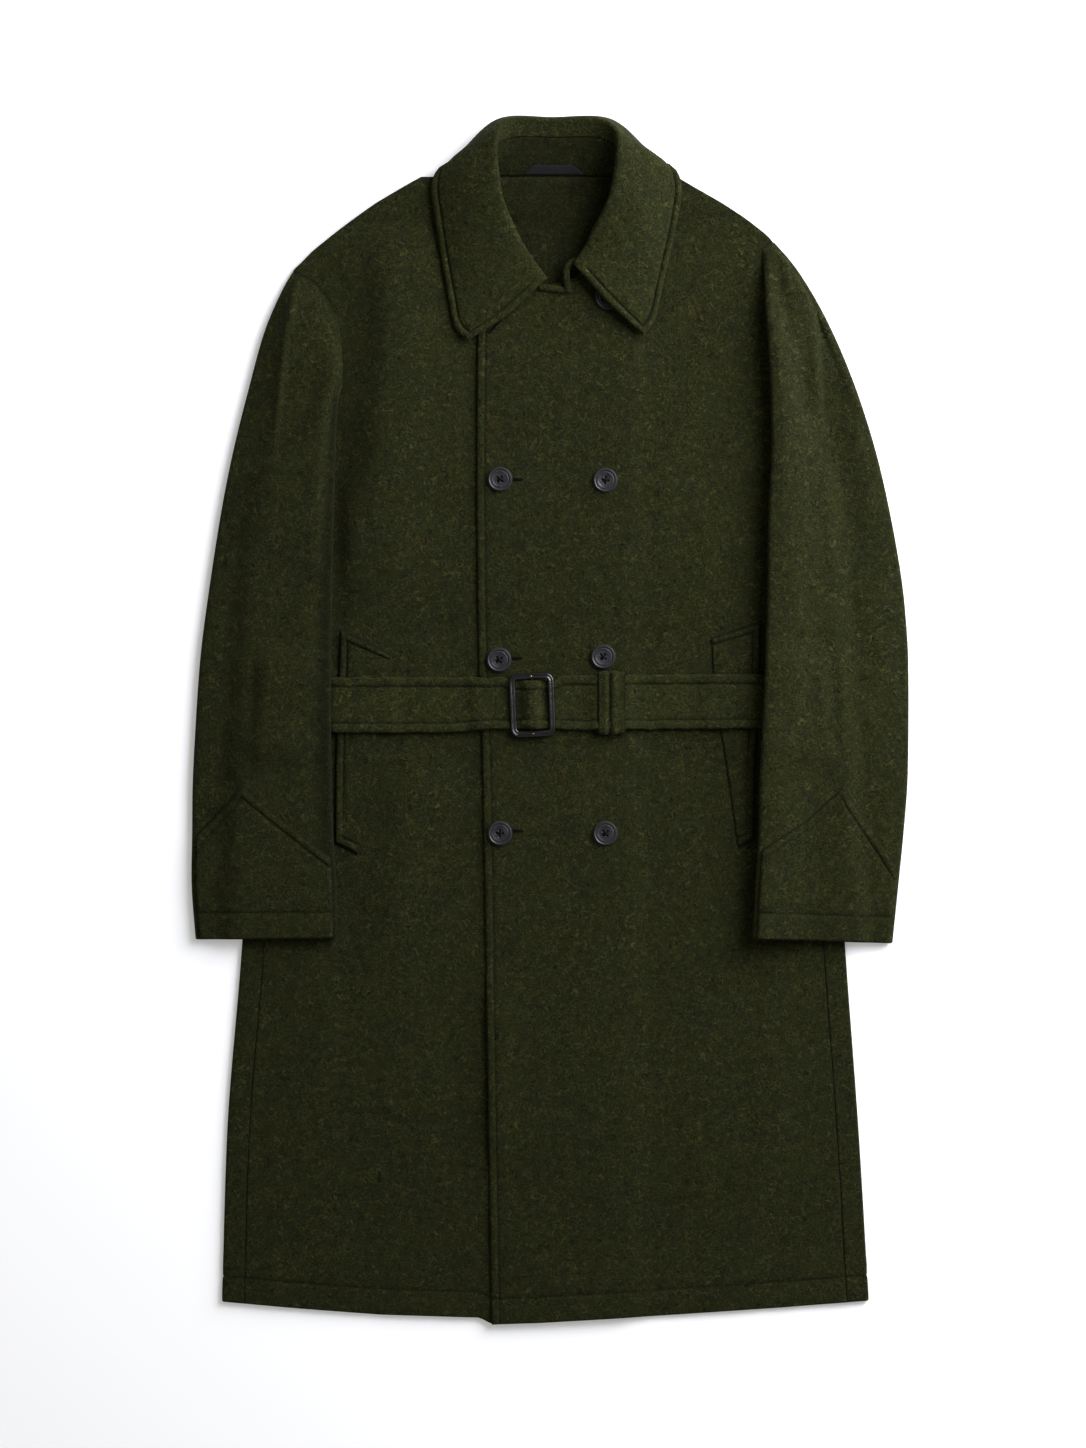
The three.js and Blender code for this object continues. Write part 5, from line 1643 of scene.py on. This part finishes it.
class COAT_OT_belt(bpy.types.Operator):
    """Make the topstitched belt and its keeper"""

    bl_idname = "coat.belt"
    bl_label = "Belt and keeper"

    def execute(self, context):
        self.belt(context)
        self.keeper()
        return {"FINISHED"}

    def belt(self, context):
        columns = int((BELT_RIGHT - BELT_LEFT) / 3.2)
        x = np.linspace(BELT_LEFT, BELT_RIGHT, columns)
        top_y = flowing(BELT_TOP, x) + 0.3 * waves(x, 0, 22, 52)
        bottom_y = flowing(BELT_BOTTOM, x) + 0.5 * waves(x, 0, 20, 53)
        width = float(np.mean(bottom_y - top_y))
        near = [0.0, 0.25, 0.8, 1.7, 3.0, 5.4, 7.4, 8.6, BELT_STITCH_IN, 10.2, 11.4, 14.0]
        share = offsets(width, near, near, 5.0)[:, None] / width
        y = mix(top_y[None, :], bottom_y[None, :], share)
        x = np.broadcast_to(x, y.shape)
        top_in, bottom_in = y - top_y, bottom_y - y
        soft = 0.4 * waves(x, y * 0.4, 60, 51) * np.sin(np.pi * share)
        bulge = 4.2 * np.exp(-(((x - BUCKLE_BAR["x"]) / 8) ** 2)) * np.sin(np.pi * share) ** 0.5
        z = belt_level(x) + soft + bulge + 1.1 * ease(share, 0.55, 1)
        end_in = np.minimum(x - BELT_LEFT, BELT_RIGHT - x)
        half = BELT_CLOTH / 2 * rounding(top_in, 2.0) * rounding(bottom_in, 2.0) * rounding(end_in)
        nearest = np.minimum(top_in, bottom_in)
        outer = place(x, y, z + half + stitch_groove(nearest, BELT_STITCH_IN, depth=1.2, swell=0.9))
        # Painted shade along the belt's topstitching and its bottom edge.
        painted_shade = 0.6 * shade_line(nearest - BELT_STITCH_IN) + shade_rim(bottom_in * 1.3)
        # The belt gets the paler wool of painted light.
        made = wall("coat_belt", outer, place(x, y, z - half), lit_cloth(), painted_shade=painted_shade)
        finish_cloth(made, ["belt"])
        row = near.index(BELT_STITCH_IN)
        at = x[row]
        stretches = (
            at < BUCKLE["left"] - 4,
            (at > BUCKLE["right"] + 4) & (at < KEEPER["from"] - 3),
            at > KEEPER["to"] + 3,
        )
        lines = []
        for line in (outer[row], outer[-1 - row]):
            for shown in stretches:
                lines += stitches(line[shown])
        sew("belt_topstitching", lines, context)

    def keeper(self):
        half = KEEPER["thickness"] / 2
        x = KEEPER["from"] + offsets(KEEPER["to"] - KEEPER["from"], ROUND_EDGE[:4], ROUND_EDGE[:4], 1.0)
        middle = float(belt_level((KEEPER["from"] + KEEPER["to"]) / 2))
        low = middle - BELT_CLOTH / 2 - PLY_GAP + 0.1 - half
        high = middle + BELT_CLOTH / 2 + PLY_GAP + half
        bottom, top = KEEPER["bottom"] - half, KEEPER["top"] + half
        bend = (high - low) / 2
        turns = np.linspace(-1, 1, 11) * math.pi / 2
        centre = (high + low) / 2
        ends = 2.2
        lower = np.linspace(bottom - ends, top + ends, 16)
        section = [(y, low) for y in lower]
        section += [(top + ends - ends * math.cos(a), centre + bend * math.sin(a)) for a in turns[1:-1]]
        section += [(y, high) for y in lower[::-1]]
        section += [(bottom - ends + ends * math.cos(a), centre + bend * math.sin(a)) for a in turns[-2:0:-1]]
        section = np.array(section)
        points = place(x[:, None], section[None, :, 0], section[None, :, 1])
        normals = outward_normals(points, (5, 33), closed=True)
        upper = section[:, 1] > centre
        side_in = np.minimum(x - KEEPER["from"], KEEPER["to"] - x)
        groove = seam_dent(np.abs(x - KEEPER["groove"]), depth=1.3, width=1.1, swell=1.3)
        dent = groove[:, None] * upper[None, :]
        outer, inner = thickened(points, normals, half * rounding(side_in)[:, None], dent)
        # Painted shade in the keeper's middle groove and round its edges.
        painted_shade = (shade_line(x - KEEPER["groove"], 1.1) + shade_rim(side_in))[:, None]
        # The keeper gets the paler wool of painted light.
        made = wall("belt_loop", outer, inner, lit_cloth(), closed=True, painted_shade=painted_shade)
        finish_cloth(made, ["belt_keeper"])


class COAT_OT_buckle(bpy.types.Operator):
    """Make the buckle's ridged frame, and its brass bar and pins"""

    bl_idname = "coat.buckle"
    bl_label = "Buckle"

    def execute(self, context):
        lean = Matrix.Rotation(BUCKLE["lean"], 4, "Z")
        centre = ((BUCKLE["left"] + BUCKLE["right"]) / 2, (BUCKLE["top"] + BUCKLE["bottom"]) / 2)
        base = float(belt_level(BUCKLE["left"])) + BELT_CLOTH / 2 + PLY_GAP
        wide, tall = BUCKLE["right"] - BUCKLE["left"], BUCKLE["bottom"] - BUCKLE["top"]
        # Inwards from the frame's outer edge, and up from its back: two ridges with a groove between.
        profile = [
            (0.9, 0.0), (0.25, 0.5), (0.0, 1.3), (0.1, 2.2), (0.55, 3.1), (1.2, 3.7), (1.9, 3.75), (2.5, 3.3),
            (2.95, 2.95), (3.4, 3.2), (4.0, 4.0), (4.7, 4.35), (5.4, 4.1), (6.0, 3.4), (6.4, 2.4), (6.5, 1.3),
            (6.2, 0.5), (5.6, 0.0),
        ]
        rings = []
        for inset, height in profile:
            radius = max(BUCKLE["corner"] - inset, 2.6)
            rings.append(self.oblong(wide - 2 * inset, tall - 2 * inset, radius, height))
        grid = np.array(rings)
        grid = np.concatenate([grid, grid[:1]])
        faces = grid_faces(len(profile) + 1, grid.shape[1], closed=True)
        count = len(profile) * grid.shape[1]
        faces = (faces % count).tolist()
        made = make_mesh("buckle_rim", grid[:-1].reshape(-1, 3) * MM, faces, buckle_enamel())
        made.data.transform(lean)
        where = place(*centre, base)
        made.data.transform(Matrix.Translation(Vector(where)))
        face_out(made)
        trim(made, "buckle", "buckle_frame")
        self.bar(lean, where)
        return {"FINISHED"}

    def oblong(self, width, height, radius, level):
        points = []
        for k, (sx, sy) in enumerate(((1, 1), (-1, 1), (-1, -1), (1, -1))):
            for turn in np.linspace(0, math.pi / 2, 11):
                angle = k * math.pi / 2 + turn
                x = sx * (width / 2 - radius) + radius * math.cos(angle)
                y = sy * (height / 2 - radius) + radius * math.sin(angle)
                points.append((x, y, level))
            if k in (0, 2):
                steps = np.linspace(0, 1, 8)[1:-1]
            else:
                steps = np.linspace(0, 1, 12)[1:-1]
            nx, ny = ((-1, 1), (-1, -1), (1, -1), (1, 1))[k]
            last = points[-1]
            following = (nx * (width / 2 - radius), ny * (height / 2 - radius))
            angle = (k + 1) * math.pi / 2
            goal = (following[0] + radius * math.cos(angle), following[1] + radius * math.sin(angle))
            for s in steps:
                points.append((mix(last[0], goal[0], s), mix(last[1], goal[1], s), level))
        return points

    def bar(self, lean, where):
        radius = BUCKLE_BAR["radius"]
        level = float(belt_level(BUCKLE["left"])) - BELT_CLOTH / 2 + radius
        ys = np.linspace(BUCKLE_BAR["from"], BUCKLE_BAR["to"], 9)
        centre = place(np.full(9, BUCKLE_BAR["x"]), ys, level)
        lines = [centre]
        for y in (BUCKLE["top"] + 3.6, BUCKLE["bottom"] - 3.6):
            x = BUCKLE_BAR["x"] + (y - 705) * BUCKLE["lean"]
            lines.append(place(np.full(5, x), np.full(5, y), np.linspace(level, where[2] / MM + 3.9, 5)))
        made = thread_mesh("buckle_pin", lines, radius * MM, pin_brass(), sides=16)
        trim(made, "brass", "buckle_bar")


class COAT_OT_buttons(bpy.types.Operator):
    """Make the four-hole buttons, the thread that holds them and the buttonholes"""

    bl_idname = "coat.buttons"
    bl_label = "Buttons"

    def execute(self, context):
        settings = context.scene.coat_trim
        threads = []
        for i, (x, y) in enumerate(BUTTONS):
            base = float(upper_level(x, y)) + BODY_CLOTH / 2 + PLY_GAP
            self.button(i, x, y, base, BUTTON_TURNS[i], settings)
            threads += self.sewing(x, y, base, BUTTON_TURNS[i], settings)
        made = thread_mesh("button_sewing", threads, 0.00036, dark_thread(), sides=6)
        trim(made, "button")
        self.buttonholes()
        return {"FINISHED"}

    def holes(self, turn, settings):
        reach = settings.hole_spacing / MM / 2 * math.sqrt(2)
        angles = [turn + math.pi / 4 + k * math.pi / 2 for k in range(4)]
        return [(reach * math.cos(angle), reach * math.sin(angle)) for angle in angles]

    def height_at(self, r):
        """A button's top at distances from its centre: a dish, a groove and a raised rim."""
        table = [
            (0, 2.05), (3.4, 2.1), (5.2, 2.25), (6.8, 2.55), (8.0, 2.85), (8.5, 2.85), (8.95, 2.5),
            (9.35, 2.5),
            (9.8, 3.2), (10.3, 3.7), (10.8, 3.8), (11.3, 3.55), (11.8, 2.8), (12.2, 1.9),
        ]
        return flowing(table, r)

    def button(self, i, x, y, base, turn, settings):
        sectors = 96
        inner = np.concatenate([np.arange(0.35, 4.6, 0.2), np.linspace(4.6, 8.6, 9)[1:]])
        outer = np.array([8.9, 9.15, 9.4, 9.65, 9.9, 10.15, 10.4, 10.7, 11.0, 11.3, 11.6, 11.85, 12.05, 12.2])
        radii = np.concatenate([inner, outer + 0.25 * ease(outer, 9, 12)])
        angles = np.arange(sectors) * 2 * math.pi / sectors
        px, py = radii[:, None] * np.cos(angles), radii[:, None] * np.sin(angles)
        z = self.height_at(radii)[:, None] + 0 * px
        hole = settings.hole_radius / MM
        for hx, hy in self.holes(turn, settings):
            z = z - 1.85 * (1 - ease(np.hypot(px - hx, py - hy), hole * 0.8, hole * 1.15))
        rings = [np.stack([px, py, z], -1)]
        for r, level in ((12.15, 1.5), (11.7, 0.8), (11.0, 0.3), (10.2, 0.05), (9.0, 0.0), (0.35, 0.0)):
            ring = [r * np.cos(angles), r * np.sin(angles), np.full(sectors, level)]
            rings.append(np.stack(ring, -1)[None])
        grid = np.concatenate(rings)
        points = place(x, y, base)[None, None] + grid * MM
        faces = grid_faces(grid.shape[0], sectors, closed=True).tolist()
        faces.append(list(range(sectors)))
        faces.append(list(range((grid.shape[0] - 1) * sectors, grid.shape[0] * sectors)))
        made = make_mesh(f"coat_button_{i + 1}", points, faces, button_horn())
        spread = radii[:, None] + 0 * px
        # The shade painted on the button: in the groove, round the outer edge and in the holes.
        worn = shade_line(spread - 9.15, 0.65) + ease(spread, 10.3, 10.9)
        for hx, hy in self.holes(turn, settings):
            worn = worn + 1 - ease(np.hypot(px - hx, py - hy), hole * 0.9, hole * 1.3)
        rim = np.concatenate([worn, np.ones((6, sectors))])
        face_out(made)
        paint_shade(made, rim)
        trim(made, "button", f"button_{i + 1}")

    def sewing(self, x, y, base, turn, settings):
        """Two bundles of thread that cross over the button, and the shank below it."""
        lines = []
        holes = self.holes(turn, settings)
        for a, b, lift in ((0, 2, 0.0), (1, 3, 0.42)):
            (ax, ay), (bx, by) = holes[a], holes[b]
            length = math.hypot(bx - ax, by - ay)
            side = ((by - ay) / length, -(bx - ax) / length)
            for off in (-0.5, 0.0, 0.5):
                s = np.linspace(0, 1, 11)
                bow = np.sin(np.pi * s) ** 0.5
                px = x + ax + (bx - ax) * s + side[0] * off * 0.8
                py = y - (ay + (by - ay) * s + side[1] * off * 0.8)
                lines.append(place(px, py, base + 1.5 + bow * (1.2 + lift) - 0.15 * abs(off)))
        for k in range(7):
            angle = 2 * math.pi * k / 7
            z = np.linspace(-1.6, 0.4, 5)
            lines.append(place(x + 1.1 * math.cos(angle), y + 1.1 * math.sin(angle), base + z))
        return lines

    def on_front(self, at, rise):
        """Places on the left front's cloth, raised off it."""
        x, y = at[:, 0], at[:, 1]
        return place(x, y, upper_level(x, y) + unevenness(x, y) + BODY_CLOTH / 2 + 0.35 + rise)

    def buttonholes(self):
        """Worked slits that end beyond the buttons' edges."""
        lines = []
        reach = np.linspace(0.1, 1.4, 5)
        rise = 0.38 * np.sin(np.linspace(0.2, 1, 5) * math.pi)
        for start, end in BUTTONHOLES:
            start, end = np.array(start), np.array(end)
            length = np.linalg.norm(end - start)
            ahead = (end - start) / length
            aside = np.array([-ahead[1], ahead[0]])
            for passed in np.arange(0, length, 0.62):
                for way in (-1, 1):
                    at = start + ahead * passed + way * aside * reach[:, None]
                    lines.append(self.on_front(at, rise))
            for angle in np.linspace(-math.pi / 2, math.pi / 2, 9):
                at = end + (ahead * math.cos(angle) + aside * math.sin(angle)) * reach[:, None]
                lines.append(self.on_front(at, rise))
        made = thread_mesh("buttonhole_stitching", lines, 0.00033, dark_thread())
        trim(made, "coat_cloth")


CLASSES = [
    CoatClothSettings,
    CoatTrimSettings,
    CoatStudioSettings,
    COAT_OT_stage,
    COAT_OT_fronts,
    COAT_OT_back,
    COAT_OT_collar,
    COAT_OT_sleeves,
    COAT_OT_welts,
    COAT_OT_belt,
    COAT_OT_buckle,
    COAT_OT_buttons,
]
STEPS = ["stage", "back", "fronts", "welts", "sleeves", "belt", "buckle", "buttons", "collar"]


class COAT_PT_panel(bpy.types.Panel):
    """Lists the coat's pieces, in the order in which they are made"""

    bl_idname = "COAT_PT_panel"
    bl_label = "Coat"
    bl_space_type = "VIEW_3D"
    bl_region_type = "UI"
    bl_category = "Coat"

    def draw(self, context):
        for step in STEPS:
            self.layout.operator("coat." + step)


def register():
    for kind in [*CLASSES, COAT_PT_panel]:
        bpy.utils.register_class(kind)
    bpy.types.Scene.coat_cloth = bpy.props.PointerProperty(type=CoatClothSettings)
    bpy.types.Scene.coat_trim = bpy.props.PointerProperty(type=CoatTrimSettings)
    bpy.types.Scene.coat_studio = bpy.props.PointerProperty(type=CoatStudioSettings)


def unregister():
    del bpy.types.Scene.coat_studio
    del bpy.types.Scene.coat_trim
    del bpy.types.Scene.coat_cloth
    for kind in [COAT_PT_panel, *reversed(CLASSES)]:
        bpy.utils.unregister_class(kind)


def main():
    register()
    for step in STEPS:
        getattr(bpy.ops.coat, step)()


if __name__ == "__main__":
    main()
